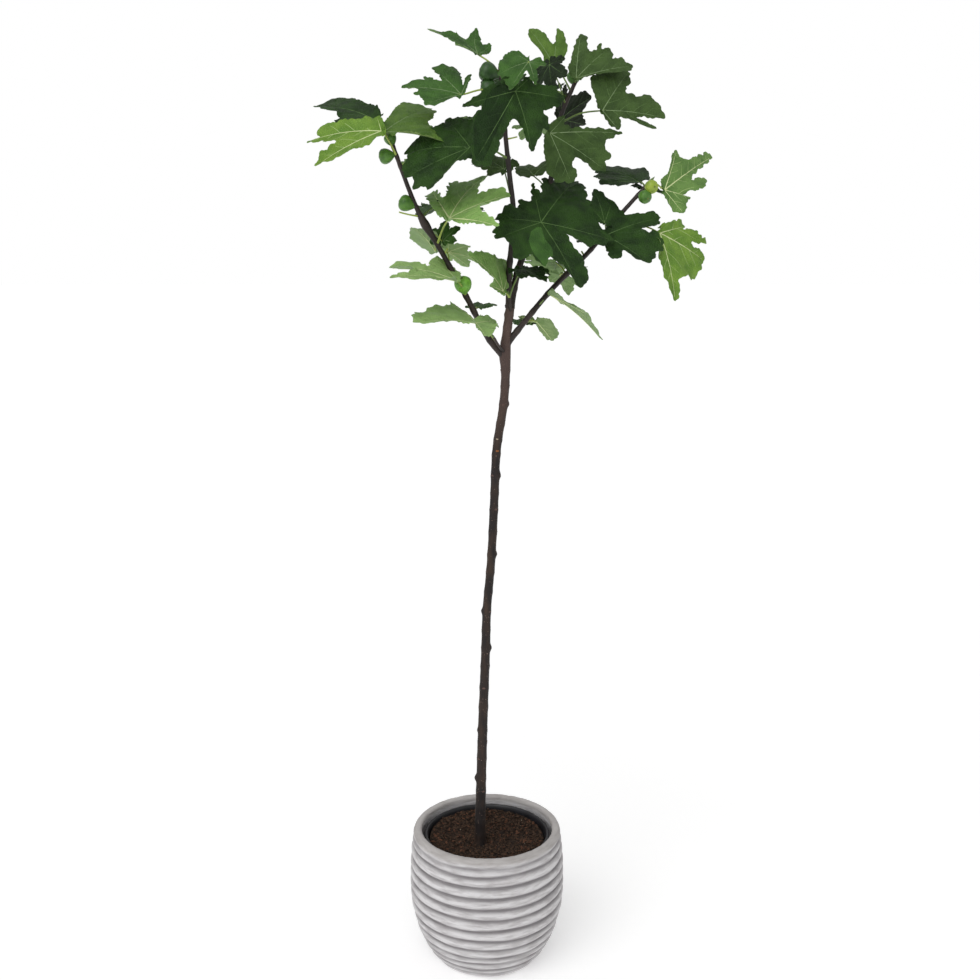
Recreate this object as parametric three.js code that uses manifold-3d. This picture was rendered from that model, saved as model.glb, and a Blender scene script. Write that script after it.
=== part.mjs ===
// A young fig tree, trained as a standard, in a ribbed barrel-shaped clay pot.
//
// Millimetres, +Z up, with the origin at the middle of the pot's flat underside. Seen from the
// front, which is along +Y, +X is to the right.
//
// A clay pot holds the black nursery pot with its soil. The bare trunk stands on the soil and
// forks high up into four limbs. Each limb carries on as a leafy shoot: a stem with big lobed
// leaves on long stalks, and a few green figs in the leaf axils. Three small sprigs grow on the
// trunk itself, just below the fork.

import * as THREE from 'three'
import { mergeVertices } from 'three/addons/utils/BufferGeometryUtils.js'
import Module from 'manifold-3d'

const wasm = await Module()
wasm.setup()

// ---------- driving dimensions ----------

const GAP = 0.35 // between neighbours that touch
const SMOOTHING = 0.15 // how far a needless corner may lie off its face

// the clay pot: its height, and the radius of its belly at some heights
const POT_HEIGHT = 270
const POT_FOOT_RADIUS = 93
const POT_LIP_FOOT = 262
const POT_BELLY = [
  [0, 96], [22, 116], [60, 134], [110, 147], [150, 150], [200, 149], [245, 145.5], [POT_LIP_FOOT, 142],
]
const POT_FOOT_EDGE = 6 // height of the turn at the foot
const POT_WALL = 14
const POT_FLOOR = 16
const POT_INSIDE_HEIGHTS = [230, 150, 60] // where the inside wall turns
const POT_MOUTH_RADIUS = 124
const POT_LIP_ROUND = 4
const RIB_COUNT = 12
const RIB_FIRST = 18 // height of the lowest groove
const RIB_LAST = 247 // height of the highest one
const RIB_DEPTH = 3.6
const POT_SIDES = 30

// the nursery pot inside it
const LINER_RIM_HEIGHT = 256
const LINER_RIM_RADIUS = 121
const LINER_TOP_RADIUS = 117
const LINER_FOOT_RADIUS = 84
const LINER_WALL = 2
const LINER_RIM_DROP = 6
const LINER_SIDES = 24

// the soil in it, flat round the trunk and a little lower at its edge
const SOIL_TOP = 240
const SOIL_FLAT_RADIUS = 88
const SOIL_EDGE_DROP = 3

// the trunk: a centre line, radii, and the swellings at its old leaf joints
const TRUNK_LINE = [
  [-13, -18, SOIL_TOP + GAP], [-13, -18, 275], [-8, -13, 475], [-2, -8, 640], [0, -6, 710], [8, -4, 805],
  [14, -2, 925], [18, 0, 1015], [31, 0, 1105], [34, 0, 1160], [33, 0, 1195], [43, 0, 1284],
]
const TRUNK_FOOT_RADIUS = 9.9
const TRUNK_TOP_RADIUS = 7.8
const ROOT_FLARE = 3.4
const ROOT_FLARE_HEIGHT = 20
const TRUNK_STEP = 32
const JOINT_EVERY = 3 // steps from one swelling to the next
const JOINT_SWELL = 1.1
const CROTCH_HEIGHT = 1190 // where the two low limbs leave the trunk
const CROTCH_SWELL = 2.2
const CROTCH_SPREAD = 22
const TRUNK_SIDES = 8
const LIMB_SIDES = 6

// The limbs. Each is one centre line: up to the share bare it is a bough, and above that it is
// the stem of a mass of foliage. The three sprigs have no bough.
const LIMBS = {
  left: {
    line: [[33, 0, 1185], [6, -8, 1216], [-36, -20, 1295], [-82, -30, 1379], [-118, -36, 1442], [-163, -45, 1561]],
    foot: 5.6, tip: 3.4, bare: 0.22,
  },
  right: {
    line: [[33, 0, 1205], [49, 2, 1225], [116, 20, 1304], [182, 35, 1369], [240, 48, 1436], [292, 60, 1492]],
    foot: 5.4, tip: 3.4, bare: 0.28,
  },
  front: {
    line: [[41, 0, 1274], [39, -5, 1326], [47, -18, 1433], [40, -28, 1500], [32, -38, 1571], [23, -45, 1675]],
    foot: 5.6, tip: 3.4, bare: 0.38,
  },
  back: {
    line: [[41, 0, 1274], [58, 12, 1345], [88, 32, 1420], [112, 48, 1486], [130, 75, 1599], [159, 98, 1668]],
    foot: 6.4, tip: 3.4, bare: 0.2,
  },
  low_left: { line: [[34, 0, 1192], [22, -26, 1208], [12, -44, 1226]], foot: 2.8, tip: 2.2, bare: 0 },
  low_right: { line: [[36, 0, 1212], [48, 14, 1222], [70, 24, 1246]], foot: 2.8, tip: 2.2, bare: 0 },
  low_front: { line: [[42, 0, 1262], [42, -14, 1280], [40, -20, 1294]], foot: 2.8, tip: 2.2, bare: 0 },
}
const LIMB_STEP = 30

// The leaves of each shoot. A row is: where the stalk starts, as a share of the limb's length; the
// stalk's bearing, rise and length; the blade's heading, pitch, roll and length. Bearings and
// headings are in degrees from +X towards +Y, rise and pitch are above the horizon, and a
// positive roll lifts the blade's left half. A ninth number makes the two lowest side lobes
// smaller, as on a leaf with only three big lobes.
const LEAVES = {
  left: [
    [0.24, 80, 5, 37, 70, 15, 0, 45],
    [0.31, -105, 28, 62, 180, 20, -10, 125, 0.5],
    [0.45, 95, 25, 52, 0, -5, -35, 60],
    [0.58, 90, -20, 75, -135, 50, 0, 70],
    [0.55, -65, 40, 70, 30, 38, 12, 125],
    [0.60, 60, -20, 40, 80, 60, -5, 45],
    [0.97, -130, 50, 32, 25, 20, 30, 108, 0.6],
    [0.93, -125, 45, 57, -170, -8, -40, 125, 0.7],
    [0.99, 118, 32, 72, 170, 12, -28, 120, 0.7],
  ],
  right: [
    [0.31, -85, 0, 40, -15, -28, -15, 118, 0.5],
    [0.43, 105, -5, 35, 65, -25, 10, 60],
    [0.68, -90, 0, 48, -15, 5, 40, 110, 0.6],
    [0.70, -100, 20, 45, 95, 60, 25, 70],
    [0.75, -35, -10, 95, 10, -45, 55, 130, 0.6],
    [0.97, 105, 15, 35, 160, 20, -15, 95],
    [1.00, 20, -25, 33, 25, 14, 60, 108, 0.6],
  ],
  front: [
    [0.41, 120, 65, 83, 140, 30, -20, 65],
    [0.64, -135, 10, 91, -175, -15, -40, 125],
    [0.85, -75, 15, 78, -125, -55, -55, 130],
    [0.91, -160, -5, 73, 170, 15, -35, 98],
    [0.98, 175, 40, 50, 170, 35, -12, 90, 0.7],
    [0.99, -45, 10, 67, -125, -30, -25, 70],
  ],
  back: [
    [0.36, -85, 5, 81, -35, -35, 25, 150],
    [0.51, 150, 45, 40, 90, 30, -10, 65, 0.5],
    [0.68, -100, 25, 70, -10, -30, 65, 125, 0.4],
    [0.80, -20, 15, 83, 10, 12, 55, 120, 0.7],
    [0.85, 90, -10, 50, 45, 25, -60, 85],
    [0.89, -120, 45, 88, -90, -60, 40, 55],
    [0.95, -175, 55, 55, 170, 60, -60, 75, 0.6],
    [0.99, -85, 20, 18, 15, 45, 48, 100, 0.6],
  ],
  low_left: [
    [0.90, -150, 38, 48, -175, 18, -12, 112, 0.5],
  ],
  low_right: [
    [0.73, 75, 10, 30, 105, 15, 0, 45],
    [1.00, 40, 0, 25, 50, -40, -15, 60],
  ],
  low_front: [
    [1.00, -120, 25, 25, -135, 60, -60, 90, 0.5],
    [1.00, -40, 60, 57, -50, -5, 5, 60],
  ],
}

// the figs of each shoot: the share of the limb's length, the bearing, the rise and the length
const FIGS = {
  left: [[0.29, -70, 60, 34], [0.72, 180, 20, 30], [0.9, 180, -10, 30], [0.97, 180, 70, 26]],
  right: [[0.93, -60, -20, 30], [0.97, -60, 0, 30]],
  front: [[0.97, 180, 20, 32]],
  back: [[0.98, 90, 60, 30]],
}
const FIG_WIDTH_SHARE = 0.82
const FIG_PROFILE = [[0, 0], [0.18, 0.05], [0.3, 0.2], [0.85, 0.5], [1, 0.7], [0.7, 0.93], [0, 1]]
const FIG_SIDES = 7
const FIG_SINK = 2.5 // how deep its neck sits in the limb

// A leaf blade of length 1: lobes to one side of the midrib, as [bearing, reach, half width],
// and the bays between them, as [bearing, depth]. The other side mirrors them. A lobe with no
// width is only a point.
const MIDDLE_LOBE = [0, 1.0, 0.2]
const SIDE_LOBES = [[42, 0.85, 0.18], [88, 0.55, 0.15], [130, 0.27, 0]]
const BAYS = [[21, 0.48], [66, 0.35], [112, 0.24], [160, 0.1]]
const SHOULDER = 0.78 // where a lobe is widest, as a share of its reach
const RIB_POINT = 0.55 // where the surface turns along a rib
const RIBBED_REACH = 0.7 // lobes shorter than this are left flat
const LEAF_THICK = 2.4
const LEAF_CUP = 0.12 // how far the sides rise
const LEAF_DROOP = 0.2 // how far the tips hang
const LOBE_JITTER = 0.08
const LEAST_REACH = 0.26 // of a lobe, so that it still stands out of its bays
const STALK_RADIUS = 1.5
const STALK_ROOT_RADIUS = 2.2
const STALK_END_RADIUS = 0.8 // inside the blade
const STALK_INTO_BLADE = 8
const STALK_ARCH = 0.08
const STALK_SIDES = 4

// Leaves that fill a shoot out on its far side, one after another along the limb by a seeded
// rule. One that would touch a neighbour is skipped.
const FILL = {
  left: { tried: 3, seed: 65 },
  right: { tried: 4, seed: 84 },
  front: { tried: 4, seed: 119 },
  back: { tried: 4, seed: 9 },
}
const FILL_FROM = 0.35 // share of the limb's length
const FILL_BEARING = 90
const FILL_SPREAD = 55
const FILL_TURN = 27.5 // the blade's heading about its stalk's bearing
const FILL_RISE = [5, 35]
const FILL_STALK = [35, 60]
const FILL_PITCH = [-18, 4]
const FILL_ROLL = 12
const FILL_LENGTH = [60, 105]
const CLEARANCE = 0.6 // of such a leaf

const COLOURS = {
  clay: 0xc9c7c4,
  liner: 0x1d1d20,
  soil: 0x35261d,
  bark: 0x4a3a38,
  leaf: 0x3f6a35,
}

// ---------- the seeded rule ----------

// numbers from 0 to 1 that are the same for the same seed
function seededNumbers(seed) {
  let state = seed * 48271 % 2147483647
  return () => {
    state = state * 16807 % 2147483647
    return state / 2147483647
  }
}

const degrees = (angle) => angle * Math.PI / 180

function direction(bearing, rise) {
  const level = Math.cos(degrees(rise))
  return new THREE.Vector3(
    level * Math.cos(degrees(bearing)),
    level * Math.sin(degrees(bearing)),
    Math.sin(degrees(rise)),
  )
}

// ---------- closed solids ----------

function solidFrom(positions, triangles) {
  return new wasm.Manifold(new wasm.Mesh({
    numProp: 3,
    vertProperties: new Float32Array(positions),
    triVerts: new Uint32Array(triangles),
  }))
}

function solidFromGeometry(geometry) {
  geometry.deleteAttribute('normal')
  geometry.deleteAttribute('uv')
  const merged = mergeVertices(geometry, 1e-4)
  return solidFrom(merged.attributes.position.array, merged.index.array)
}

function geometryFrom(solid) {
  const mesh = solid.getMesh()
  const geometry = new THREE.BufferGeometry()
  geometry.setAttribute('position', new THREE.BufferAttribute(mesh.vertProperties, 3))
  geometry.setIndex(new THREE.BufferAttribute(mesh.triVerts, 1))
  geometry.computeVertexNormals()
  return geometry
}

// the largest piece of a solid, without sealed hollows or loose scraps, and with no needless corners
function tidied(solid) {
  const pieces = solid.asOriginal().simplify(SMOOTHING).decompose()
  return pieces.reduce((largest, piece) => (piece.volume() > largest.volume() ? piece : largest))
}

// a profile of [radius, height] points, from axis to axis, turned about +Z
function turned(profile, sides) {
  const points = profile.map(([radius, height]) => new THREE.Vector2(radius, height))
  const geometry = new THREE.LatheGeometry(points, sides)
  geometry.rotateX(Math.PI / 2)
  return solidFromGeometry(geometry)
}

// rings of points, joined into a skin with flat ends
function skinned(rings) {
  const sides = rings[0].length
  const positions = rings.flat().flatMap((point) => [point.x, point.y, point.z])
  const triangles = []
  for (let ring = 0; ring < rings.length - 1; ring++) {
    for (let side = 0; side < sides; side++) {
      const next = (side + 1) % sides
      const low = ring * sides
      const high = low + sides
      triangles.push(low + side, low + next, high + next)
      triangles.push(low + side, high + next, high + side)
    }
  }
  const last = (rings.length - 1) * sides
  for (let side = 1; side < sides - 1; side++) {
    triangles.push(0, side + 1, side)
    triangles.push(last, last + side, last + side + 1)
  }
  return solidFrom(positions, triangles)
}

// a round limb along a curve, between two shares of its length, and run on past both ends
function swept(curve, from, to, steps, sides, radiusAt, runOn = 0) {
  const rings = []
  let across = new THREE.Vector3(1, 0, 0)
  for (let step = 0; step <= steps; step++) {
    const share = from + (to - from) * step / steps
    const centre = curve.getPointAt(share)
    const along = curve.getTangentAt(share)
    if (step === 0 || step === steps) {
      centre.addScaledVector(along, step === 0 ? -runOn : runOn)
    }
    across = across.clone().addScaledVector(along, -across.dot(along)).normalize()
    const second = along.clone().cross(across)
    const radius = radiusAt(share)
    const ring = []
    for (let side = 0; side < sides; side++) {
      const angle = 2 * Math.PI * side / sides
      ring.push(centre.clone()
        .addScaledVector(across, radius * Math.cos(angle))
        .addScaledVector(second, radius * Math.sin(angle)))
    }
    rings.push(ring)
  }
  return skinned(rings)
}

function curveThrough(line) {
  return new THREE.CatmullRomCurve3(line.map((point) => new THREE.Vector3(...point)))
}

// ---------- the pot, the nursery pot and the soil ----------

function bellyRadius(height) {
  let upper = 1
  while (upper < POT_BELLY.length - 1 && POT_BELLY[upper][0] < height) {
    upper += 1
  }
  const [lowHeight, lowRadius] = POT_BELLY[upper - 1]
  const [highHeight, highRadius] = POT_BELLY[upper]
  return THREE.MathUtils.mapLinear(height, lowHeight, highHeight, lowRadius, highRadius)
}

function clayPot() {
  const profile = [[0, 0], [POT_FOOT_RADIUS, 0], [bellyRadius(POT_FOOT_EDGE), POT_FOOT_EDGE]]
  const lipRadius = bellyRadius(POT_LIP_FOOT)
  const pitch = (RIB_LAST - RIB_FIRST) / (RIB_COUNT - 1)
  for (let rib = 0; rib < RIB_COUNT; rib++) {
    const groove = RIB_FIRST + rib * pitch
    const crest = groove + pitch / 2
    profile.push([bellyRadius(groove) - RIB_DEPTH, groove])
    if (rib < RIB_COUNT - 1) {
      profile.push([bellyRadius(crest), crest])
    }
  }
  profile.push([lipRadius, POT_LIP_FOOT])
  profile.push([lipRadius - POT_LIP_ROUND, POT_HEIGHT])
  profile.push([POT_MOUTH_RADIUS + POT_LIP_ROUND, POT_HEIGHT])
  profile.push([POT_MOUTH_RADIUS, POT_HEIGHT - POT_LIP_ROUND])
  for (const height of POT_INSIDE_HEIGHTS) {
    profile.push([bellyRadius(height) - POT_WALL, height])
  }
  profile.push([bellyRadius(POT_FLOOR) - POT_WALL, POT_FLOOR], [0, POT_FLOOR])
  return turned(profile, POT_SIDES)
}

function nurseryPot() {
  const foot = POT_FLOOR + GAP
  const rimFoot = LINER_RIM_HEIGHT - LINER_RIM_DROP
  return turned([
    [0, foot],
    [LINER_FOOT_RADIUS, foot],
    [LINER_TOP_RADIUS, rimFoot],
    [LINER_RIM_RADIUS, rimFoot],
    [LINER_RIM_RADIUS, LINER_RIM_HEIGHT],
    [LINER_TOP_RADIUS - LINER_WALL, LINER_RIM_HEIGHT],
    [LINER_FOOT_RADIUS - LINER_WALL, foot + LINER_WALL],
    [0, foot + LINER_WALL],
  ], LINER_SIDES)
}

// the inside radius of the nursery pot at a height
function linerInside(height) {
  const foot = POT_FLOOR + GAP + LINER_WALL
  const footRadius = LINER_FOOT_RADIUS - LINER_WALL
  const topRadius = LINER_TOP_RADIUS - LINER_WALL
  return THREE.MathUtils.mapLinear(height, foot, LINER_RIM_HEIGHT, footRadius, topRadius)
}

function pottedSoil() {
  const foot = POT_FLOOR + LINER_WALL + 2 * GAP
  const edge = SOIL_TOP - SOIL_EDGE_DROP
  return turned([
    [0, foot],
    [linerInside(foot) - GAP, foot],
    [linerInside(edge) - GAP, edge],
    [SOIL_FLAT_RADIUS, SOIL_TOP],
    [0, SOIL_TOP],
  ], LINER_SIDES)
}

// ---------- the trunk and the limbs ----------

const trunkCurve = curveThrough(TRUNK_LINE)
const trunkLength = trunkCurve.getLength()
const trunkSteps = Math.round(trunkLength / TRUNK_STEP)

function trunkRadius(share) {
  const height = trunkCurve.getPointAt(share).z
  const taper = THREE.MathUtils.lerp(TRUNK_FOOT_RADIUS, TRUNK_TOP_RADIUS, Math.min(1, share * 2))
  const flare = ROOT_FLARE * Math.exp(-(height - SOIL_TOP) / ROOT_FLARE_HEIGHT)
  const crotch = CROTCH_SWELL * Math.exp(-(((height - CROTCH_HEIGHT) / CROTCH_SPREAD) ** 2))
  const step = Math.round(share * trunkSteps)
  const joint = step > 0 && step % JOINT_EVERY === 0 ? JOINT_SWELL : 0
  return taper + flare + crotch + joint
}

function trunkSolid(extra) {
  return swept(trunkCurve, 0, 1, trunkSteps, TRUNK_SIDES, (share) => trunkRadius(share) + extra, extra)
}

function limbRadius(limb, share) {
  return THREE.MathUtils.lerp(limb.foot, limb.tip, share)
}

function limbSolid(limb, from, to, extra) {
  const steps = Math.max(2, Math.round((to - from) * limb.length / LIMB_STEP))
  return swept(limb.curve, from, to, steps, LIMB_SIDES, (share) => limbRadius(limb, share) + extra, extra)
}

for (const limb of Object.values(LIMBS)) {
  limb.curve = curveThrough(limb.line)
  limb.length = limb.curve.getLength()
}

// ---------- leaves and figs ----------

// a blade's own axes: along its midrib, to its left, and out of its upper face
function bladeAxes(heading, pitch, roll) {
  const along = direction(heading, pitch)
  const level = new THREE.Vector3(-Math.sin(degrees(heading)), Math.cos(degrees(heading)), 0)
  const up = along.clone().cross(level)
  const left = level.clone().multiplyScalar(Math.cos(degrees(roll))).addScaledVector(up, Math.sin(degrees(roll)))
  return { along, left, out: along.clone().cross(left) }
}

// how high the blade's surface stands off its flat, all for a blade of length 1
function bladeRise(u, v) {
  return LEAF_CUP * Math.abs(v) - LEAF_DROOP * (u * u + v * v)
}

// every lobe from the right ear round to the left ear, each with its own small change
function lobesOf(lower, random) {
  const right = [...SIDE_LOBES].reverse().map(([bearing, reach, width]) => [-bearing, reach, width])
  return [...right, MIDDLE_LOBE, ...SIDE_LOBES].map(([bearing, reach, width]) => {
    const change = 1 + LOBE_JITTER * (2 * random() - 1)
    const size = Math.abs(bearing) === SIDE_LOBES[1][0] ? lower : 1
    return [bearing, Math.max(reach * change * size, LEAST_REACH), width]
  })
}

function polar(bearing, radius) {
  return [radius * Math.cos(degrees(bearing)), radius * Math.sin(degrees(bearing))]
}

// one lobe from bay to bay: its edge, and the rib point inside it if it has one
function lobeShape([bearing, reach, width], bayBefore, bayAfter) {
  const tip = polar(bearing, reach)
  if (width === 0) {
    return { edge: [bayBefore, tip, bayAfter] }
  }
  const [backU, backV] = polar(bearing, reach * SHOULDER)
  const [sideU, sideV] = polar(bearing + 90, width)
  const before = [backU - sideU, backV - sideV]
  const after = [backU + sideU, backV + sideV]
  const rib = reach > RIBBED_REACH ? polar(bearing, reach * RIB_POINT) : null
  return { edge: [bayBefore, before, tip, after, bayAfter], rib }
}

// the blade of length 1, flat: its points, its triangles, and the points round its rim
function flatBlade(lower, random) {
  const bays = [...BAYS].reverse().map(([bearing, depth]) => [-bearing, depth]).concat(BAYS)
  const points = [[0, 0]]
  const triangles = []
  const rim = [points.push(polar(...bays[0])) - 1]
  lobesOf(lower, random).forEach((lobe, index) => {
    const shape = lobeShape(lobe, points[rim[rim.length - 1]], polar(...bays[index + 1]))
    const edge = [rim[rim.length - 1], ...shape.edge.slice(1).map((point) => points.push(point) - 1)]
    const middle = shape.rib ? points.push(shape.rib) - 1 : 0
    if (shape.rib) {
      triangles.push([0, edge[0], middle], [0, middle, edge[edge.length - 1]])
    }
    for (let corner = 0; corner < edge.length - 1; corner++) {
      triangles.push([middle, edge[corner], edge[corner + 1]])
    }
    rim.push(...edge.slice(1))
  })
  return { points, triangles, rim: [...rim, 0] }
}

function bladeSolid(junction, axes, length, lower, random) {
  const { points, triangles, rim } = flatBlade(lower, random)
  const positions = []
  for (const face of [1, -1]) {
    for (const [u, v] of points) {
      const point = junction.clone()
        .addScaledVector(axes.along, u * length)
        .addScaledVector(axes.left, v * length)
        .addScaledVector(axes.out, bladeRise(u, v) * length + face * LEAF_THICK / 2)
      positions.push(point.x, point.y, point.z)
    }
  }
  const under = points.length
  const all = triangles.flatMap(([a, b, c]) => [a, b, c, under + a, under + c, under + b])
  rim.forEach((corner, index) => {
    const next = rim[(index + 1) % rim.length]
    all.push(corner, under + corner, under + next, corner, under + next, next)
  })
  return solidFrom(positions, all)
}

// a leaf's stalk, sunk into the limb at one end and into the blade at the other
function stalkSolid(root, junction, along) {
  const middle = root.clone().lerp(junction, 0.5)
  middle.z += STALK_ARCH * root.distanceTo(junction)
  const inside = junction.clone().addScaledVector(along, STALK_INTO_BLADE)
  const path = new THREE.CatmullRomCurve3([root, middle, junction, inside])
  const radii = [STALK_ROOT_RADIUS, STALK_RADIUS, STALK_RADIUS, STALK_END_RADIUS]
  const last = radii.length - 1
  return swept(path, 0, 1, last, STALK_SIDES, (share) => radii[Math.round(share * last)])
}

function leafParts(limb, row, seed) {
  const [share, bearing, rise, stalk, heading, pitch, roll, length, lower = 1] = row
  const root = limb.curve.getPointAt(share)
  const junction = root.clone().addScaledVector(direction(bearing, rise), stalk)
  const axes = bladeAxes(heading, pitch, roll)
  return {
    stalk: stalkSolid(root, junction, axes.along),
    blade: bladeSolid(junction, axes, length, lower, seededNumbers(seed)),
  }
}

// the row of the n-th leaf that the seeded rule would put on a shoot
function fillingRow(index, count, random) {
  const within = ([low, high]) => THREE.MathUtils.lerp(low, high, random())
  const about = (middle, spread) => middle + spread * (2 * random() - 1)
  const share = THREE.MathUtils.lerp(FILL_FROM, 1, (index + 0.5) / count)
  const bearing = about(FILL_BEARING, FILL_SPREAD)
  return [
    share, bearing, within(FILL_RISE), within(FILL_STALK),
    about(bearing, FILL_TURN), within(FILL_PITCH), about(0, FILL_ROLL), within(FILL_LENGTH),
  ]
}

function figSolid(limb, [share, bearing, rise, length]) {
  const width = length * FIG_WIDTH_SHARE / 2
  const points = FIG_PROFILE.map(([across, along]) => new THREE.Vector2(across * width, along * length))
  const geometry = new THREE.LatheGeometry(points, FIG_SIDES)
  const axis = direction(bearing, rise)
  geometry.applyQuaternion(new THREE.Quaternion().setFromUnitVectors(new THREE.Vector3(0, 1, 0), axis))
  const root = limb.curve.getPointAt(share).addScaledVector(axis, -FIG_SINK)
  geometry.translate(root.x, root.y, root.z)
  return solidFromGeometry(geometry)
}

// ---------- putting it together ----------

const group = new THREE.Group()

function addPart(name, solid, colour, roughness) {
  const material = new THREE.MeshStandardMaterial({ color: colour, roughness, metalness: 0 })
  const mesh = new THREE.Mesh(geometryFrom(solid), material)
  mesh.name = name
  group.add(mesh)
}

addPart('pot', clayPot(), COLOURS.clay, 0.85)
addPart('nursery_pot', nurseryPot(), COLOURS.liner, 0.5)
addPart('soil', pottedSoil(), COLOURS.soil, 0.95)
addPart('trunk', trunkSolid(0), COLOURS.bark, 0.7)

// The boughs. Each is cut clear of the trunk and of the boughs before it.
let woodSpace = trunkSolid(GAP)
for (const [name, limb] of Object.entries(LIMBS)) {
  if (limb.bare > 0) {
    addPart(`bough_${name}`, limbSolid(limb, 0, limb.bare, 0).subtract(woodSpace), COLOURS.bark, 0.7)
    woodSpace = woodSpace.add(limbSolid(limb, 0, limb.bare, GAP))
  }
}

// the stem of a mass of foliage: it meets its bough's tip, or the trunk, with a gap
function stemSolid(limb) {
  if (limb.bare === 0) {
    return limbSolid(limb, 0, 1, 0).subtract(woodSpace)
  }
  return limbSolid(limb, limb.bare + GAP / limb.length, 1, 0)
}

// the listed leaves and figs, fused on to their stems
const masses = {}
let leafSeed = 0
for (const [name, limb] of Object.entries(LIMBS)) {
  masses[name] = stemSolid(limb)
  for (const row of LEAVES[name]) {
    leafSeed += 1
    const { stalk, blade } = leafParts(limb, row, leafSeed)
    masses[name] = masses[name].add(stalk).add(blade)
  }
  for (const row of FIGS[name] ?? []) {
    masses[name] = masses[name].add(figSolid(limb, row))
  }
}

const isClear = (solid, others) => others.every((other) => solid.minGap(other, CLEARANCE) >= CLEARANCE)

// the leaves that fill the shoots out, where they find room
for (const [name, { tried, seed }] of Object.entries(FILL)) {
  const random = seededNumbers(seed)
  const others = Object.keys(masses).filter((other) => other !== name).map((other) => masses[other])
  for (let index = 0; index < tried; index++) {
    const row = fillingRow(index, tried, random)
    const { stalk, blade } = leafParts(LIMBS[name], row, seed + index)
    if (isClear(stalk.add(blade), [...others, woodSpace]) && isClear(blade, [masses[name]])) {
      masses[name] = masses[name].add(stalk).add(blade)
    }
  }
}

for (const [name, mass] of Object.entries(masses)) {
  addPart(`foliage_${name}`, tidied(mass), COLOURS.leaf, 0.6)
}

export default group
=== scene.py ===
# %% [markdown]
# # A young fig tree in a clay pot
#
# The real thing is a fig trained as a standard: one bare stem, a forked crown of big lobed leaves
# on long stalks, a few green figs, and a heavy ribbed clay pot with the grower's black pot inside.
# This lesson dresses a plain engineering model of it. The plain model gives every size and place,
# so the first step is to load it and to keep the box that it fills.

# %% Load the frame
import math

import bpy
import numpy as np
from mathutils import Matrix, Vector, noise
from mathutils.geometry import delaunay_2d_cdt


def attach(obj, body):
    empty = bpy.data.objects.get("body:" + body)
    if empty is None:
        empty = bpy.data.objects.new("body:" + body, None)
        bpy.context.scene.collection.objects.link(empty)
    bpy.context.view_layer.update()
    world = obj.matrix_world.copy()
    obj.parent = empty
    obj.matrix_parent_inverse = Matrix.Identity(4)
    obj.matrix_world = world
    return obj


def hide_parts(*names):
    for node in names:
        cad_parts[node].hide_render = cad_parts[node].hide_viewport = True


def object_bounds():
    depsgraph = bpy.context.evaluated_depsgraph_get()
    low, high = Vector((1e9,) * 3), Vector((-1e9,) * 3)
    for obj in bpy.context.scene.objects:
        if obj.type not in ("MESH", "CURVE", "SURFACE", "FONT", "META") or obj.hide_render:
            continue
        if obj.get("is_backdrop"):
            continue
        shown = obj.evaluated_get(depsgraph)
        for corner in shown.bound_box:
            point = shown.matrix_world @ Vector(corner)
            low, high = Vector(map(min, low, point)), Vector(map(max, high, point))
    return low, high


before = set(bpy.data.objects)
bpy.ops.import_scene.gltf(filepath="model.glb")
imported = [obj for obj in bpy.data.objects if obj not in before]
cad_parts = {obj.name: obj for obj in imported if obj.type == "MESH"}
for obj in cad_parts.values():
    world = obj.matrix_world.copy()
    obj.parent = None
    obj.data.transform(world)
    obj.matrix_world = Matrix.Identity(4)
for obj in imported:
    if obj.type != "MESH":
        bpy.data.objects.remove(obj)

CAD_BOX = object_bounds()
MM = 0.001
print("nodes:", sorted(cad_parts))

# %% [markdown]
# ## Camera, light and floor
#
# The tree is tall and thin, and it is looked at from head height and a little above, so that the
# soil in the pot shows. A camera could be aimed with a constraint, but a plain tilt is easier to
# read: 77 degrees about X looks ahead and slightly down. Soft light comes from an even world and from
# one very wide sun, like a softbox over the plant, because leaves should not cast hard shadows on each
# other. A sun lights the crown and the floor alike, which an area lamp close to the crown does not.

# %% Camera
EYE = (0.006, -2.318, 1.466)
TILT = math.radians(77.23)
LENS, SENSOR = 47.5, 36

bpy.ops.object.camera_add(location=EYE, rotation=(TILT, 0, 0))
camera = bpy.context.object
camera.name = "viewer"
camera.data.lens, camera.data.sensor_width = LENS, SENSOR
camera.data.sensor_fit = "HORIZONTAL"
bpy.context.scene.camera = camera
print("camera at", EYE, "with a lens of", LENS, "mm")


# %% Colours, nodes and wires
def srgb(code):
    """A colour written as on a paint chart, #rrggbb, as the linear numbers that a shader needs."""
    parts = [int(code[start:start + 2], 16) / 255 for start in (1, 3, 5)]
    return (*(part / 12.92 if part < 0.04045 else ((part + 0.055) / 1.055) ** 2.4 for part in parts), 1)


def add_nodes(tree, *kinds):
    return [tree.nodes.new("ShaderNode" + kind) for kind in kinds]


def settle(node, values):
    """Set the inputs of a node that nothing is wired to."""
    for label, value in values.items():
        node.inputs[label].default_value = value


def wire(tree, *wires):
    """Join nodes. Each wire is (node, its output, next node, its input)."""
    for start, output, end, entry in wires:
        tree.links.new(start.outputs[output], end.inputs[entry])


print("a grey of #808080 sends back", round(srgb("#808080")[0], 2), "of the light")


# %% Sky and sun
WHITE = (1, 1, 1, 1)
SKY, SUN = 0.55, 1.5
SUN_LEAN, SUN_TURN, SUN_WIDTH = 46, -25, 55

world = bpy.context.scene.world or bpy.data.worlds.new("studio")
bpy.context.scene.world = world
world.use_nodes = True
sky = world.node_tree.nodes["Background"]
seen, strength = add_nodes(world.node_tree, "LightPath", "MapRange")
settle(sky, {"Color": WHITE})
settle(strength, {"To Min": SKY, "To Max": 1})
wire(world.node_tree, (seen, "Is Camera Ray", strength, "Value"), (strength, "Result", sky, "Strength"))
bpy.context.scene.view_settings.view_transform = "Standard"

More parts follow.
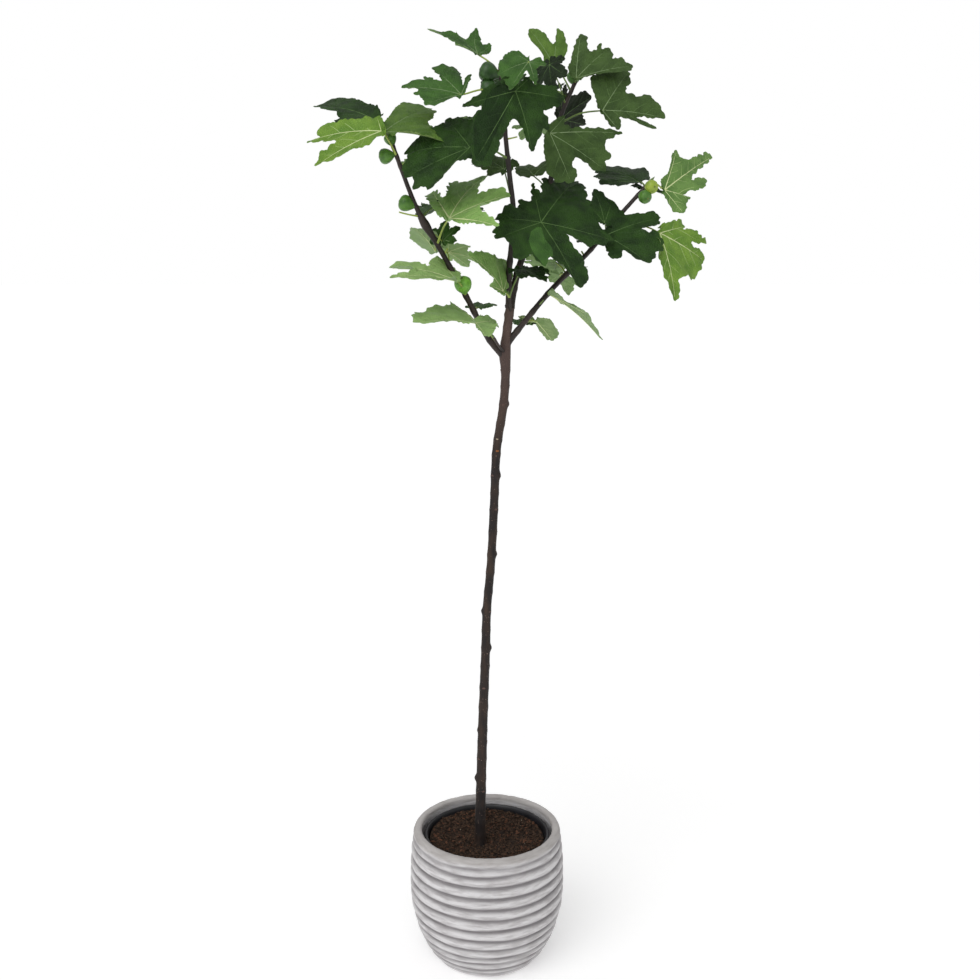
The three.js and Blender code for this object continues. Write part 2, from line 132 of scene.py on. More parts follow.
bpy.ops.object.light_add(type="SUN", rotation=(math.radians(SUN_LEAN), 0, math.radians(SUN_TURN)))
sun = bpy.context.object
sun.name = "softbox"
sun.data.energy, sun.data.angle = SUN, math.radians(SUN_WIDTH)
print("a bright world and one wide soft sun of", SUN_WIDTH, "degrees")


# %% Floor
def deselect():
    if bpy.context.object and bpy.context.object.mode != "OBJECT":
        bpy.ops.object.mode_set(mode="OBJECT")
    bpy.ops.object.select_all(action="DESELECT")


deselect()
bpy.ops.mesh.primitive_plane_add(size=40, location=(0, 0, 0))
floor = bpy.context.object
floor.name = "floor"
paper = bpy.data.materials.new("pale_floor")
paper.use_nodes = True
settle(paper.node_tree.nodes["Principled BSDF"], {
    "Base Color": (0.9, 0.9, 0.9, 1), "Roughness": 0.9, "Emission Color": WHITE, "Emission Strength": 0.25,
})
floor.data.materials.append(paper)
floor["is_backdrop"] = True
print("a pale floor")

# %% [markdown]
# ## Shared effects
#
# Clay, bark, soil and leaves all vary in the same few ways: patches of a second colour, streaks
# that run one way, and a fine roughness that catches the light. Each effect could be rebuilt in
# every material. Here each one is a node group with named inputs, made once and placed in each
# material with values of its own.

# %% The making of a node group
FLOAT, VECTOR, COLOUR = "NodeSocketFloat", "NodeSocketVector", "NodeSocketColor"


def new_group(name, inputs, output, kind):
    """A shader node group with its sockets, and the nodes at its two ends."""
    tree = bpy.data.node_groups.new(name, "ShaderNodeTree")
    for label, socket_type, value in inputs:
        tree.interface.new_socket(label, in_out="INPUT", socket_type=socket_type).default_value = value
    tree.interface.new_socket(output, in_out="OUTPUT", socket_type=kind)
    return tree, tree.nodes.new("NodeGroupInput"), tree.nodes.new("NodeGroupOutput")


def stretched_cloud(tree, given, detail):
    """Noise on the piece's own coordinates, which the group's Stretch pulls into streaks."""
    place, stretch, cloud = add_nodes(tree, "TexCoord", "VectorMath", "TexNoise")
    stretch.operation = "MULTIPLY"
    settle(cloud, {"Detail": detail})
    wire(tree, (place, "Object", stretch, 0), (given, "Stretch", stretch, 1),
         (stretch, 0, cloud, "Vector"), (given, "Scale", cloud, "Scale"))
    return cloud


# %% Mottle, grain and cells
def mottle_group():
    """Two colours in soft patches. The patches can be stretched along an axis into streaks."""
    tree, given, result = new_group("mottle", [
        ("Colour 1", COLOUR, (0.5, 0.5, 0.5, 1)), ("Colour 2", COLOUR, (0.2, 0.2, 0.2, 1)),
        ("Stretch", VECTOR, (1, 1, 1)), ("Scale", FLOAT, 20), ("Low", FLOAT, 0.4), ("High", FLOAT, 0.6),
    ], "Colour", COLOUR)
    cloud = stretched_cloud(tree, given, 4)
    edge, mix = add_nodes(tree, "MapRange", "Mix")
    mix.data_type = "RGBA"
    wire(tree, (cloud, "Fac", edge, "Value"), (given, "Low", edge, "From Min"),
         (given, "High", edge, "From Max"), (edge, "Result", mix, "Factor"),
         (given, "Colour 1", mix, "A"), (given, "Colour 2", mix, "B"), (mix, "Result", result, "Colour"))
    return tree


def grain_group():
    """A fine unevenness as a height, which a Bump node in the material turns into light."""
    inputs = [("Stretch", VECTOR, (1, 1, 1)), ("Scale", FLOAT, 400)]
    tree, given, result = new_group("grain", inputs, "Height", FLOAT)
    wire(tree, (stretched_cloud(tree, given, 5), "Fac", result, "Height"))
    return tree


def cell_group():
    """A net of fine ridges round small cells, as the smallest veins of a leaf make."""
    inputs = [("Scale", FLOAT, 300), ("Ridge", FLOAT, 0.15)]
    tree, given, result = new_group("cells", inputs, "Height", FLOAT)
    place, cells, rise = add_nodes(tree, "TexCoord", "TexVoronoi", "MapRange")
    cells.feature = "DISTANCE_TO_EDGE"
    wire(tree, (place, "Object", cells, "Vector"), (given, "Scale", cells, "Scale"),
         (cells, "Distance", rise, "Value"), (given, "Ridge", rise, "From Max"),
         (rise, "Result", result, "Height"))
    return tree


MOTTLE, GRAIN, CELLS = mottle_group(), grain_group(), cell_group()
print("node groups:", MOTTLE.name, GRAIN.name, CELLS.name)

# %% [markdown]
# ## Materials
#
# A finish is one function call here: its two colours, how rough it is, and which effects lie on it.
# The shader stays in the material itself, with its fixed values on its own sockets, and the groups
# only feed it what changes over the surface.


# %% One material from its finish
def place_group(tree, group, values):
    node, = add_nodes(tree, "Group")
    node.node_tree = group
    settle(node, values)
    return node


def finish(name, colours, rough, patches, relief, gloss):
    """A material with two mottled colours and a relief.

    patches is (stretch, scale, low, high) and relief is (group, values, depth in metres)."""
    material = bpy.data.materials.new(name)
    material.use_nodes = True
    material.diffuse_color = srgb(colours[0])
    tree = material.node_tree
    shader = tree.nodes["Principled BSDF"]
    settle(shader, {"Roughness": rough, "Specular IOR Level": gloss})
    labels = ("Colour 1", "Colour 2", "Stretch", "Scale", "Low", "High")
    mottle = place_group(tree, MOTTLE, dict(zip(labels, (*map(srgb, colours), *patches))))
    group, values, depth = relief
    height = place_group(tree, group, values)
    bump, = add_nodes(tree, "Bump")
    settle(bump, {"Distance": depth})
    wire(tree, (mottle, "Colour", shader, "Base Color"), (height, "Height", bump, "Height"),
         (bump, "Normal", shader, "Normal"))
    return material


def even_finish(name, colours, rough, patches, grain, gloss=0.3):
    """A finish that runs no particular way: patches (scale, low, high) and a grain (scale, depth)."""
    relief = (GRAIN, {"Scale": grain[0]}, grain[1])
    return finish(name, colours, rough, ((1, 1, 1), *patches), relief, gloss)


# %% A colour where a mask says so
def add_mask_colour(material, attribute, code, strength):
    """Lay one more colour over a finish where an attribute of the mesh says so."""
    tree = material.node_tree
    shader = tree.nodes["Principled BSDF"]
    under = shader.inputs["Base Color"].links[0].from_socket
    mask, amount, mix = add_nodes(tree, "Attribute", "Math", "Mix")
    mask.attribute_name, amount.operation, mix.data_type = attribute, "MULTIPLY", "RGBA"
    settle(amount, {1: strength})
    settle(mix, {"B": srgb(code)})
    tree.links.new(under, mix.inputs["A"])
    wire(tree, (mask, "Fac", amount, 0), (amount, "Value", mix, "Factor"),
         (mix, "Result", shader, "Base Color"))


# %% Smoothing and dressing a piece
def smooth(piece, angle):
    """Shade a piece smooth, and leave the edges sharp that bend more than an angle in degrees."""
    deselect()
    piece.select_set(True)
    bpy.context.view_layer.objects.active = piece
    bpy.ops.object.shade_smooth_by_angle(angle=math.radians(angle))


def dress(piece, materials, slot, *nodes):
    """Give a piece its materials, let it ride with the tree, and hide the plain parts that it replaces."""
    for material in materials:
        piece.data.materials.append(material)
    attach(piece, "root")
    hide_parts(*nodes)


# %% [markdown]
# ## The clay pot
#
# The pot was thrown as a smooth barrel, and its ribs were then combed into the wet clay, so they
# are never quite level or quite alike. A lathe profile with the ribs drawn in would come out too
# perfect. So the pot is made in the potter's order: a filled circle is extruded and scaled ring by
# ring into a smooth barrel, over the lip and down the inside, and the comb is pressed in afterwards.

# %% Throwing a shell ring by ring
POT_HEIGHT, POT_WALL, POT_FLOOR = 270, 14, 16
POT_FOOT_RADIUS, POT_FOOT_TURN, POT_LIP_FOOT = 93, 6, 262
POT_BELLY = [
    [0, 96], [22, 116], [60, 134], [110, 147], [150, 150], [200, 149], [245, 145.5], [POT_LIP_FOOT, 142],
]
BELLY_SMOOTH = 9
POT_LIP = [
    [141.6, 263], [140.4, 266.4], [138.4, 269], [135.6, 270], [132.4, 270], [129.2, 269.2], [127.2, 267],
    [126.6, 263],
]
POT_MOUTH = [128.1, 256]
POT_INSIDE = (245, 230, 190, 150, 100, 60, 30)
POT_FOOT_ROUND = (2.2, 1.2)
POT_SIDES, POT_RING_STEP = 216, 2


def belly_radius(height):
    """The barrel's radius, with the corners between the measured heights smoothed away."""
    heights, radii = zip(*POT_BELLY)
    nearby = np.linspace(-BELLY_SMOOTH, BELLY_SMOOTH, 7)
    return float(np.mean([np.interp(height + shift, heights, radii) for shift in nearby]))


def turned_shell(name, profile, sides):
    """A closed shell: a filled circle, extruded and scaled ring by ring along [radius, height] points."""
    deselect()
    radius, height = profile[0]
    bpy.ops.mesh.primitive_circle_add(
        vertices=sides, radius=radius * MM, fill_type="NGON", location=(0, 0, height * MM),
    )
    piece = bpy.context.object
    piece.name = name
    bpy.ops.object.mode_set(mode="EDIT")
    bpy.ops.mesh.select_all(action="SELECT")
    for next_radius, next_height in profile[1:]:
        lift = (0, 0, (next_height - height) * MM)
        bpy.ops.mesh.extrude_region_move(TRANSFORM_OT_translate={"value": lift})
        share = next_radius / radius
        bpy.ops.transform.resize(value=(share, share, 1), center_override=(0, 0, next_height * MM))
        radius, height = next_radius, next_height
    bpy.ops.mesh.select_all(action="SELECT")
    bpy.ops.mesh.normals_make_consistent(inside=False)
    bpy.ops.object.mode_set(mode="OBJECT")
    bpy.ops.object.transform_apply(location=True, rotation=True, scale=True)
    print(f"{name}: {len(piece.data.vertices)} points")
    return piece


outer = [[POT_FOOT_RADIUS, 0], [POT_FOOT_RADIUS + POT_FOOT_ROUND[0], POT_FOOT_ROUND[1]]]
outer += [[belly_radius(height), height] for height in range(POT_FOOT_TURN, POT_LIP_FOOT, POT_RING_STEP)]
inner = [POT_MOUTH, *([belly_radius(height) - POT_WALL, height] for height in (*POT_INSIDE, POT_FLOOR))]
pot = turned_shell("clay_pot", outer + POT_LIP + inner, POT_SIDES)

# %% [markdown]
# ### The combed ribs
#
# Every groove has a height and a depth of its own. Smooth noise, read round the pot, makes a groove
# wander up and down and fade in and out, as a hand does. The depth that is pressed at each point is
# kept as an attribute of the mesh, and the clay is painted darker by it: painted shade down in the grooves.

# %% Pressing the ribs
GROOVES = [14, 28, 44, 60, 81, 102, 125, 149, 170, 192, 214, 236, 251]
GROOVE_DEPTHS = [2.4, 3.4, 2.6, 3.2, 3.6, 4.0, 4.2, 3.8, 4.4, 4.2, 4.4, 3.6, 2.6]
GROOVE_WIDTH, GROOVE_WANDER, GROOVE_FADE = 4.4, 2.6, 0.35
WANDER_PACE, FADE_PACE = 1.6, 2.4
# GROOVE_DARK_FROM is the pressed depth at which the painted shade in a groove is at its darkest.
GROOVE_DARK_FROM = 3.6
RIB_SWELL, RIM_CLEAR = 0.9, 3
CLAY_ROUGH = [(0.35, 3, 14), (0.2, 6, 5)]


def coordinates(piece):
    """The points of a piece in millimetres."""
    points = np.empty(len(piece.data.vertices) * 3)
    piece.data.vertices.foreach_get("co", points)
    return points.reshape(-1, 3) / MM


def set_coordinates(piece, points):
    piece.data.vertices.foreach_set("co", (points * MM).ravel())
    piece.data.update()


def add_mask(piece, name, values):
    mask = piece.data.attributes.new(name, "FLOAT", "POINT")
    mask.data.foreach_set("value", np.clip(values, 0, 1))


def bell(away, width):
    return math.exp(-((away / width) ** 2))


def press_ribs(piece):
    points = coordinates(piece)
    radius = np.hypot(points[:, 0], points[:, 1])
    depth = np.zeros(len(points))
    for index, (x, y, z) in enumerate(points):
        if z <= 0 or radius[index] < belly_radius(z) - POT_WALL / 2 or z > POT_HEIGHT - RIM_CLEAR:
            continue
        turn = Vector((x, y, 0)) / radius[index]
        pressed = 0
        for number, (groove, deep) in enumerate(zip(GROOVES, GROOVE_DEPTHS)):
            if abs(z - groove) < 4 * GROOVE_WIDTH:
                wander = GROOVE_WANDER * noise.noise(turn * WANDER_PACE + Vector((0, 0, number * 7.3)))
                fade = 1 + GROOVE_FADE * noise.noise(turn * FADE_PACE + Vector((0, 0, number * 3.1 + 50)))
                pressed += deep * fade * bell(z - groove - wander, GROOVE_WIDTH)
        rough = sum(rise * noise.noise(Vector((x, y, z * flat)) / size) for rise, flat, size in CLAY_ROUGH)
        out = radius[index] - pressed + rough + RIB_SWELL * (1 - min(1, pressed / 2)) - RIB_SWELL / 2
        depth[index] = min(1, pressed / GROOVE_DARK_FROM)
        points[index, :2] *= out / radius[index]
    set_coordinates(piece, points)
    add_mask(piece, "groove", depth)
    print("ribs pressed up to", round(float(depth.max()), 2), "of full depth")


press_ribs(pot)

# %% The knocked lip and the limewash
LIP_WEAR, LIP_CHIP = 0.35, 1.3
LIP_DARKER_ABOVE = (257, 5)


def chip_lip(piece):
    """Small dents and lifts along the lip, which is the part that gets knocked."""
    points = coordinates(piece)
    for index, (x, y, z) in enumerate(points):
        if z > POT_LIP_FOOT + 2:
            chip = noise.noise(Vector((x, y, 0)) / 9) + 0.8 * noise.noise(Vector((x, y, 40)) / 4)
            points[index, 2] -= LIP_WEAR + LIP_CHIP * max(0, chip)
    set_coordinates(piece, points)


chip_lip(pot)
smooth(pot, 50)
# The lip is darker towards its top, a warm grey.
add_mask(pot, "lip", (coordinates(pot)[:, 2] - LIP_DARKER_ABOVE[0]) / LIP_DARKER_ABOVE[1])
clay = finish(
    "limewashed_clay", ("#dad8d9", "#b7b3b4"), 0.88,
    ((1, 1, 6), 30, 0.42, 0.7), (GRAIN, {"Stretch": (1, 1, 7), "Scale": 95}, 0.0026), 0.25,
)
# Painted shade: the grooves are painted darker, the more so the deeper they are pressed.
add_mask_colour(clay, "groove", "#757173", 0.85)
add_mask_colour(clay, "lip", "#958f8a", 0.6)
dress(pot, [clay], "clay", "pot")
print("the clay has", len(clay.node_tree.nodes), "nodes")

# %% [markdown]
# ## The grower's pot
#
# Inside stands the thin black plastic pot that the tree was sold in. Only its rolled rim and a strip
# of its wall show above the soil, but the whole pot is turned, so that the part is true from above.

# %% Black nursery pot
LINER_PROFILE = [
    [84, 16.5], [98, 110], [111, 200], [116.4, 244], [117, 249.5], [119.6, 250.2], [121, 251.4],
    [121.2, 253.4], [120.6, 255.2], [118.8, 256], [116.6, 255.4], [115, 253], [114.6, 248],
    [109, 200], [96, 110], [82, 19],
]
liner = turned_shell("grower_pot", LINER_PROFILE, 96)
smooth(liner, 40)
black_plastic = even_finish(
    "black_moulded_plastic", ("#17171a", "#25252a"), 0.42, (30, 0.4, 0.75), (900, 0.0002), 0.5,
)
dress(liner, [black_plastic], "nursery_plastic", "nursery_pot")

# %% [markdown]
# ## The compost
#
# The compost is a dark crumbly bed with orange-brown bits of bark and a few pale grains. A bumpy
# disc alone looks like mud, so loose crumbs lie on it. There are hundreds, so they are written
# straight into joined meshes from arrays, a few faces each, one mesh for each kind.

# %% Soil bed
SOIL_TOP, SOIL_FOOT, SOIL_EDGE_RADIUS = 240, 19, 113.4
SOIL_ROUGH = [(2.2, 26), (1.3, 9), (0.7, 3.5)]
SOIL_RINGS, SOIL_RING_STEP = 44, 2.6
BANK_HEIGHT, BANK_SLOPE, BANK_SIDE = 5.5, 3.5, 140
BANK_FROM, BANK_WIDTH = 50, 60
HEAPED_UP, HEAP_WIDTH = 1.5, 22
TRUNK_FOOT = (-13, -18)

soil_profile = [[82, SOIL_FOOT + 0.7], [96, 110], [108.6, 200], [SOIL_EDGE_RADIUS, SOIL_TOP - 3]]
soil_radii = np.linspace(SOIL_EDGE_RADIUS - SOIL_RING_STEP, SOIL_RING_STEP, SOIL_RINGS)
soil_profile += [[radius, SOIL_TOP] for radius in soil_radii]
soil = turned_shell("compost", soil_profile, 120)


def soil_height(x, y):
    """The uneven top of the bed, in millimetres, heaped round the stem and banked up to one side."""
    rough = sum(rise * noise.noise(Vector((x, y, 0)) / size) for rise, size in SOIL_ROUGH)
    away = math.hypot(x - TRUNK_FOOT[0], y - TRUNK_FOOT[1])
    edge = min(1, max(0, math.hypot(x, y) - BANK_FROM) / BANK_WIDTH)
    banked = BANK_HEIGHT + BANK_SLOPE * math.cos(math.atan2(y, x) - math.radians(BANK_SIDE))
    return SOIL_TOP + rough + HEAPED_UP * bell(away, HEAP_WIDTH) + banked * edge


bed = coordinates(soil)
for index, (x, y, z) in enumerate(bed):
    if z > SOIL_TOP - 2:
        bed[index, 2] = soil_height(x, y)
set_coordinates(soil, bed)
smooth(soil, 60)
compost = even_finish("dark_compost", ("#37291f", "#1f1713"), 0.95, (190, 0.4, 0.62), (420, 0.0025), 0.2)
dress(soil, [compost], "soil", "soil")


# %% A heap of small shapes in one mesh
class Heap:
    """Collects points and faces of many small shapes and makes one mesh of them."""

    def __init__(self):
        self.points, self.faces, self.finishes, self.count = [], [], [], 0

    def add(self, points, faces, material=0):
        """Add a shape in metres. material is its material's number, or a list with one for each face."""
        self.points.append(np.asarray(points, float))
        self.faces += [tuple(corner + self.count for corner in face) for face in faces]
        self.finishes += material if isinstance(material, list) else [material] * len(faces)
        self.count += len(points)

    def build(self, name, materials, slot, node, angle=50):
        """Make the mesh and dress it, with only those of the materials that it uses."""
        used = sorted(set(self.finishes))
        mesh = bpy.data.meshes.new(name)
        mesh.from_pydata(np.concatenate(self.points).tolist(), [], self.faces)
        mesh.polygons.foreach_set("material_index", [used.index(number) for number in self.finishes])
        mesh.update()
        piece = bpy.data.objects.new(name, mesh)
        bpy.context.scene.collection.objects.link(piece)
        smooth(piece, angle)
        dress(piece, [materials[number] for number in used], slot, node)
        print(f"{name}: {sum(len(face) - 2 for face in self.faces)} triangles")


def faces_to_points(sides):
    """The faces from a ring of points to the two that follow it, one above and one below."""
    ring = [(n, (n + 1) % sides) for n in range(sides)]
    return [(a, b, sides) for a, b in ring] + [(b, a, sides + 1) for a, b in ring]


# %% Crumbs, bark bits and pale grains
CRUMB_CORNERS = [
    (1, 0, 0), (0.2, 0.95, 0.1), (-0.9, 0.3, 0), (-0.4, -0.9, 0.1), (0.6, -0.75, 0),
    (0, 0, 0.8), (0, 0, -0.7),
]
CRUMB_LEAN, CRUMB_LIFT = 0.35, 0.12
rng = np.random.default_rng(12)


def scatter(name, count, length, flatness, material):
    """Strew bits over the bed. Each is a faceted crumb with its own size, stretch and turn."""
    heap = Heap()
    for _ in range(count):
        radius = (SOIL_EDGE_RADIUS - 4) * math.sqrt(rng.random())
        angle = rng.random() * 2 * math.pi
        x, y = radius * math.cos(angle), radius * math.sin(angle)
        size = length[0] + (length[1] - length[0]) * rng.random() ** 2
        shape = np.array(CRUMB_CORNERS) * rng.uniform(0.75, 1.2, (len(CRUMB_CORNERS), 1))
        shape *= np.array([1, rng.uniform(*flatness), rng.uniform(*flatness)]) * size / 2
        turn, lean = rng.random() * 2 * math.pi, rng.normal(0, CRUMB_LEAN)
        tilt = np.array([
            [math.cos(lean), 0, math.sin(lean)], [0, 1, 0], [-math.sin(lean), 0, math.cos(lean)]])
        spin = np.array([
            [math.cos(turn), -math.sin(turn), 0], [math.sin(turn), math.cos(turn), 0], [0, 0, 1]])
        place = np.array([x, y, soil_height(x, y) + CRUMB_LIFT * size])
        heap.add((shape @ tilt.T @ spin.T + place) * MM, faces_to_points(5))
    heap.build(name, [material], "soil", "soil", 20)


crumb = even_finish("soil_crumb", ("#463529", "#241b15"), 0.95, (260, 0.45, 0.55), (700, 0.0008), 0.2)
bark_bit = even_finish("bark_bit", ("#5e4030", "#3b261c"), 0.9, (90, 0.42, 0.6), (500, 0.0008), 0.2)
pale_grain = even_finish("pale_grain", ("#b9ac9a", "#8d7a66"), 0.9, (160, 0.4, 0.6), (700, 0.0004), 0.2)
scatter("compost_crumbs", 1900, (3.2, 12), (0.6, 0.95), crumb)
scatter("compost_bark_bits", 520, (3.5, 12.5), (0.4, 0.7), bark_bit)
scatter("compost_pale_grains", 60, (1.5, 3.2), (0.7, 1.0), pale_grain)

# %% [markdown]
# ## The lines of the limbs
#
# The trunk and every limb follow one smooth line through a few points. Blender's own curves would
# do, but the plain model was drawn along a centripetal Catmull-Rom spline, and the dressed tree has
# to lie on it, so the same spline is worked out here. A line then answers two questions: where is
# the point at a share of its length, and which way does it run there.


# %% Smooth lines
class Line:
    """A centripetal Catmull-Rom spline through points, read by share of its length."""

    DENSE = 60

    def __init__(self, points):
        points = [np.array(point, float) for point in points]
        ends = [2 * points[0] - points[1], *points, 2 * points[-1] - points[-2]]
        dense = []
        for before, start, end, after in zip(ends, ends[1:], ends[2:], ends[3:]):
            steps = (start - before, end - start, after - end)
            gaps = [math.sqrt(np.linalg.norm(step)) for step in steps]
            slopes = [step / gap for step, gap in zip(steps, gaps)]
            first = slopes[0] - (end - before) / (gaps[0] + gaps[1]) + slopes[1]
            last = slopes[1] - (after - start) / (gaps[1] + gaps[2]) + slopes[2]
            first, last = first * gaps[1], last * gaps[1]
            for w in np.arange(self.DENSE) / self.DENSE:
                bend = (2 * start - 2 * end + first + last) * w ** 3
                dense.append(start + first * w + (3 * end - 3 * start - 2 * first - last) * w ** 2 + bend)
        self.dense = np.array([*dense, points[-1]])
        steps = np.linalg.norm(np.diff(self.dense, axis=0), axis=1)
        self.length = float(steps.sum())
        self.shares = np.concatenate([[0], np.cumsum(steps)]) / self.length

    def at(self, share):
        return np.array([np.interp(share, self.shares, self.dense[:, axis]) for axis in range(3)])

    def along(self, share, reach=0.004):
        step = self.at(min(1, share + reach)) - self.at(max(0, share - reach))
        return step / np.linalg.norm(step)


def direction(bearing, rise):
    """One step towards a bearing in degrees, climbing at an angle in degrees."""
    bearing, rise = math.radians(bearing), math.radians(rise)
    level = math.cos(rise)
    return np.array([level * math.cos(bearing), level * math.sin(bearing), math.sin(rise)])


print("a level step towards 90 degrees is", direction(90, 0).round(2))


# %% The trunk's line and the limbs
TRUNK_LINE = Line([
    [-13, -18, 240.3], [-13, -18, 275], [-8, -13, 475], [-2, -8, 640], [0, -6, 710], [8, -4, 805],
    [14, -2, 925], [18, 0, 1015], [31, 0, 1105], [34, 0, 1160], [33, 0, 1195], [43, 0, 1284],
])
LIMBS = {
    name: {"name": name, "foot": foot, "tip": tip, "bare": bare, "joints": joints, "line": Line(points)}
    for name, foot, tip, bare, joints, points in (
        ("left", 5.6, 3.4, 0.22, [0.1, 0.24], [
            [33, 0, 1185], [6, -8, 1216], [-36, -20, 1295], [-82, -30, 1379], [-118, -36, 1442],
            [-163, -45, 1561],
        ]),
        ("right", 5.4, 3.4, 0.28, [0.09, 0.2], [
            [33, 0, 1205], [49, 2, 1225], [116, 20, 1304], [182, 35, 1369],
            [240, 48, 1436], [292, 60, 1492],
        ]),
        ("front", 5.6, 3.4, 0.38, [0.1, 0.2, 0.3], [
            [41, 0, 1274], [39, -5, 1326], [47, -18, 1433], [40, -28, 1500],
            [32, -38, 1571], [23, -45, 1675],
        ]),
        ("back", 6.4, 3.4, 0.2, [0.08, 0.15], [
            [41, 0, 1274], [58, 12, 1345], [88, 32, 1420], [112, 48, 1486],
            [130, 75, 1599], [159, 98, 1668],
        ]),
        ("low_left", 2.8, 2.2, 0, [], [[34, 0, 1192], [22, -26, 1208], [12, -44, 1226]]),
        ("low_right", 2.8, 2.2, 0, [], [[36, 0, 1212], [48, 14, 1222], [70, 24, 1246]]),
        ("low_front", 2.8, 2.2, 0, [], [[42, 0, 1262], [42, -14, 1280], [40, -20, 1294]]),
    )
}
print({name: round(limb["line"].length) for name, limb in LIMBS.items()}, "mm long")

# %% [markdown]
# ## Trunk and boughs
#
# Young fig bark is smooth and dark, with a ring where each old leaf joined, a few knobs where side
# shoots were cut, and pale dots that let the wood breathe. A Blender curve with a round bevel is the
# quickest limb there is: each point carries its own radius, so taper, root flare and swellings come
# in as numbers, and converting it gives clean rings. The rings are then roughened along their normals.

# %% Limbs from bevelled curves
BARK_SIDES = 28
MERGE = 1e-6


def bevelled_limb(name, line, start, end, step, radius_at):
    """A tapering limb along a line, between two shares of its length, as a mesh of clean rings."""
    deselect()
    bpy.ops.curve.primitive_nurbs_path_add(location=(0, 0, 0))
    limb_piece = bpy.context.object
    limb_piece.name = name
    curve = limb_piece.data
    curve.splines.clear()
    curve.dimensions = "3D"
    curve.bevel_depth = MM
    curve.bevel_resolution = (BARK_SIDES - 4) // 2
    curve.use_fill_caps = True
    shares = np.linspace(start, end, max(4, round((end - start) * line.length / step)))
    spline = curve.splines.new("POLY")
    spline.points.add(len(shares) - 1)
    for point, share in zip(spline.points, shares):
        point.co = (*(line.at(share) * MM), 1)
        point.radius = radius_at(share)
    bpy.ops.object.convert(target="MESH")
    bpy.ops.object.mode_set(mode="EDIT")
    bpy.ops.mesh.select_all(action="SELECT")
    bpy.ops.mesh.remove_doubles(threshold=MERGE)
    bpy.ops.mesh.normals_make_consistent(inside=False)
    bpy.ops.object.mode_set(mode="OBJECT")
    return bpy.context.object


def roughen(piece, depth, knobs=()):
    """Move each point along its normal: fine vertical bark, and round knobs at (place, size, height)."""
    points = coordinates(piece)
    normals = np.array([vertex.normal for vertex in piece.data.vertices])
    for index, (x, y, z) in enumerate(points):
        rough = noise.noise(Vector((x / 3, y / 3, z / 14))) + 0.5 * noise.noise(Vector((x, y, z / 2)))
        lift = depth * rough
        for place, size, height in knobs:
            away = math.dist((x, y, z), place)
            if away < 3 * size:
                lift += height * bell(away, size)
        points[index] += normals[index] * lift
    set_coordinates(piece, points)
    smooth(piece, 60)
    print(f"{piece.name}: {len(points)} points")


# %% Bark finishes
UPPER_BARK = (1020, 1200)
old_bark = finish(
    "old_bark", ("#181110", "#38291f"), 0.62,
    ((1, 1, 0.25), 60, 0.42, 0.66), (GRAIN, {"Stretch": (1, 1, 0.3), "Scale": 420}, 0.0016), 0.35,
)
add_mask_colour(old_bark, "upper", "#5d4a45", 0.65)
young_bark = finish(
    "young_bark", ("#251d1a", "#3b2f29"), 0.5,
    ((1, 1, 0.5), 60, 0.4, 0.7), (GRAIN, {"Stretch": (1, 1, 0.4), "Scale": 500}, 0.0008), 0.4,
)
print("barks:", old_bark.name, young_bark.name)

# %% Trunk
TRUNK_FOOT_RADIUS, TRUNK_TOP_RADIUS = 9.9, 7.8
ROOT_FLARE, ROOT_FLARE_HEIGHT = 3.4, 20
CROTCH_HEIGHT, CROTCH_SWELL, CROTCH_SPREAD = 1190, 2.6, 24
ROUNDED_END = 0.008
RING_HEIGHTS = [
    262, 288, 318, 352, 377, 418, 452, 475, 521, 560, 602, 638, 674, 709, 748, 786, 819, 862, 905, 936, 968,
    1008, 1036, 1066, 1100, 1134, 1162, 1214, 1240, 1262,
]
RING_SWELL, RING_LENGTH = 0.7, 6
RING_GROOVE, GROOVE_ABOVE, GROOVE_LENGTH = 0.35, 2, 1.3


def ring_swell(height):
    """The old leaf joints: a low swelling with a fine groove on top of it."""
    near = [height - ring for ring in RING_HEIGHTS if abs(height - ring) < 20]
    return sum(
        RING_SWELL * bell(away, RING_LENGTH) - RING_GROOVE * bell(away - GROOVE_ABOVE, GROOVE_LENGTH)
        for away in near
    )


def trunk_radius(share):
    height = TRUNK_LINE.at(share)[2]
    taper = TRUNK_FOOT_RADIUS + (TRUNK_TOP_RADIUS - TRUNK_FOOT_RADIUS) * min(1, share * 2)
    flare = ROOT_FLARE * math.exp(-(height - SOIL_TOP) / ROOT_FLARE_HEIGHT)
    crotch = CROTCH_SWELL * bell(height - CROTCH_HEIGHT, CROTCH_SPREAD)
    close = math.sqrt(max(0.02, 1 - max(0, (share - (1 - ROUNDED_END)) / ROUNDED_END) ** 2))
    return (taper + flare + crotch + ring_swell(height)) * close


def on_trunk(height, side):
    """A point on the bark at a height, towards a side given as a bearing in degrees."""
    share = (height - TRUNK_LINE.at(0)[2]) / (TRUNK_LINE.at(1)[2] - TRUNK_LINE.at(0)[2])
    return TRUNK_LINE.at(share) + trunk_radius(share) * direction(side, 0)


# A knob: its height, its side, its size, and how far it stands out.
KNOBS = [
    (377, 178, 6, 3.4), (475, 200, 4, 1.8), (638, -10, 6, 2.6), (709, 172, 5, 2.4), (819, 5, 5, 2.2),
    (968, -5, 6, 2.6), (1036, -70, 5, 1.2), (1100, 8, 5, 2.4), (560, 90, 5, 2.2), (905, 100, 5, 2.0),
    (1262, 200, 4, 1.2),
]
trunk = bevelled_limb("trunk_bark", TRUNK_LINE, 0, 1, 2.6, trunk_radius)
roughen(trunk, 0.28, [(on_trunk(height, side), size, lift) for height, side, size, lift in KNOBS])
add_mask(trunk, "upper", (coordinates(trunk)[:, 2] - UPPER_BARK[0]) / (UPPER_BARK[1] - UPPER_BARK[0]))
dress(trunk, [old_bark], "bark", "trunk")

# %% Taper, collars and swellings of a limb
NODE_SWELL, NODE_LENGTH = 0.14, 5
COLLAR, COLLAR_LENGTH = 0.5, 14
OLD_KNOT = {"left": (0.64, 15, 3.6)}


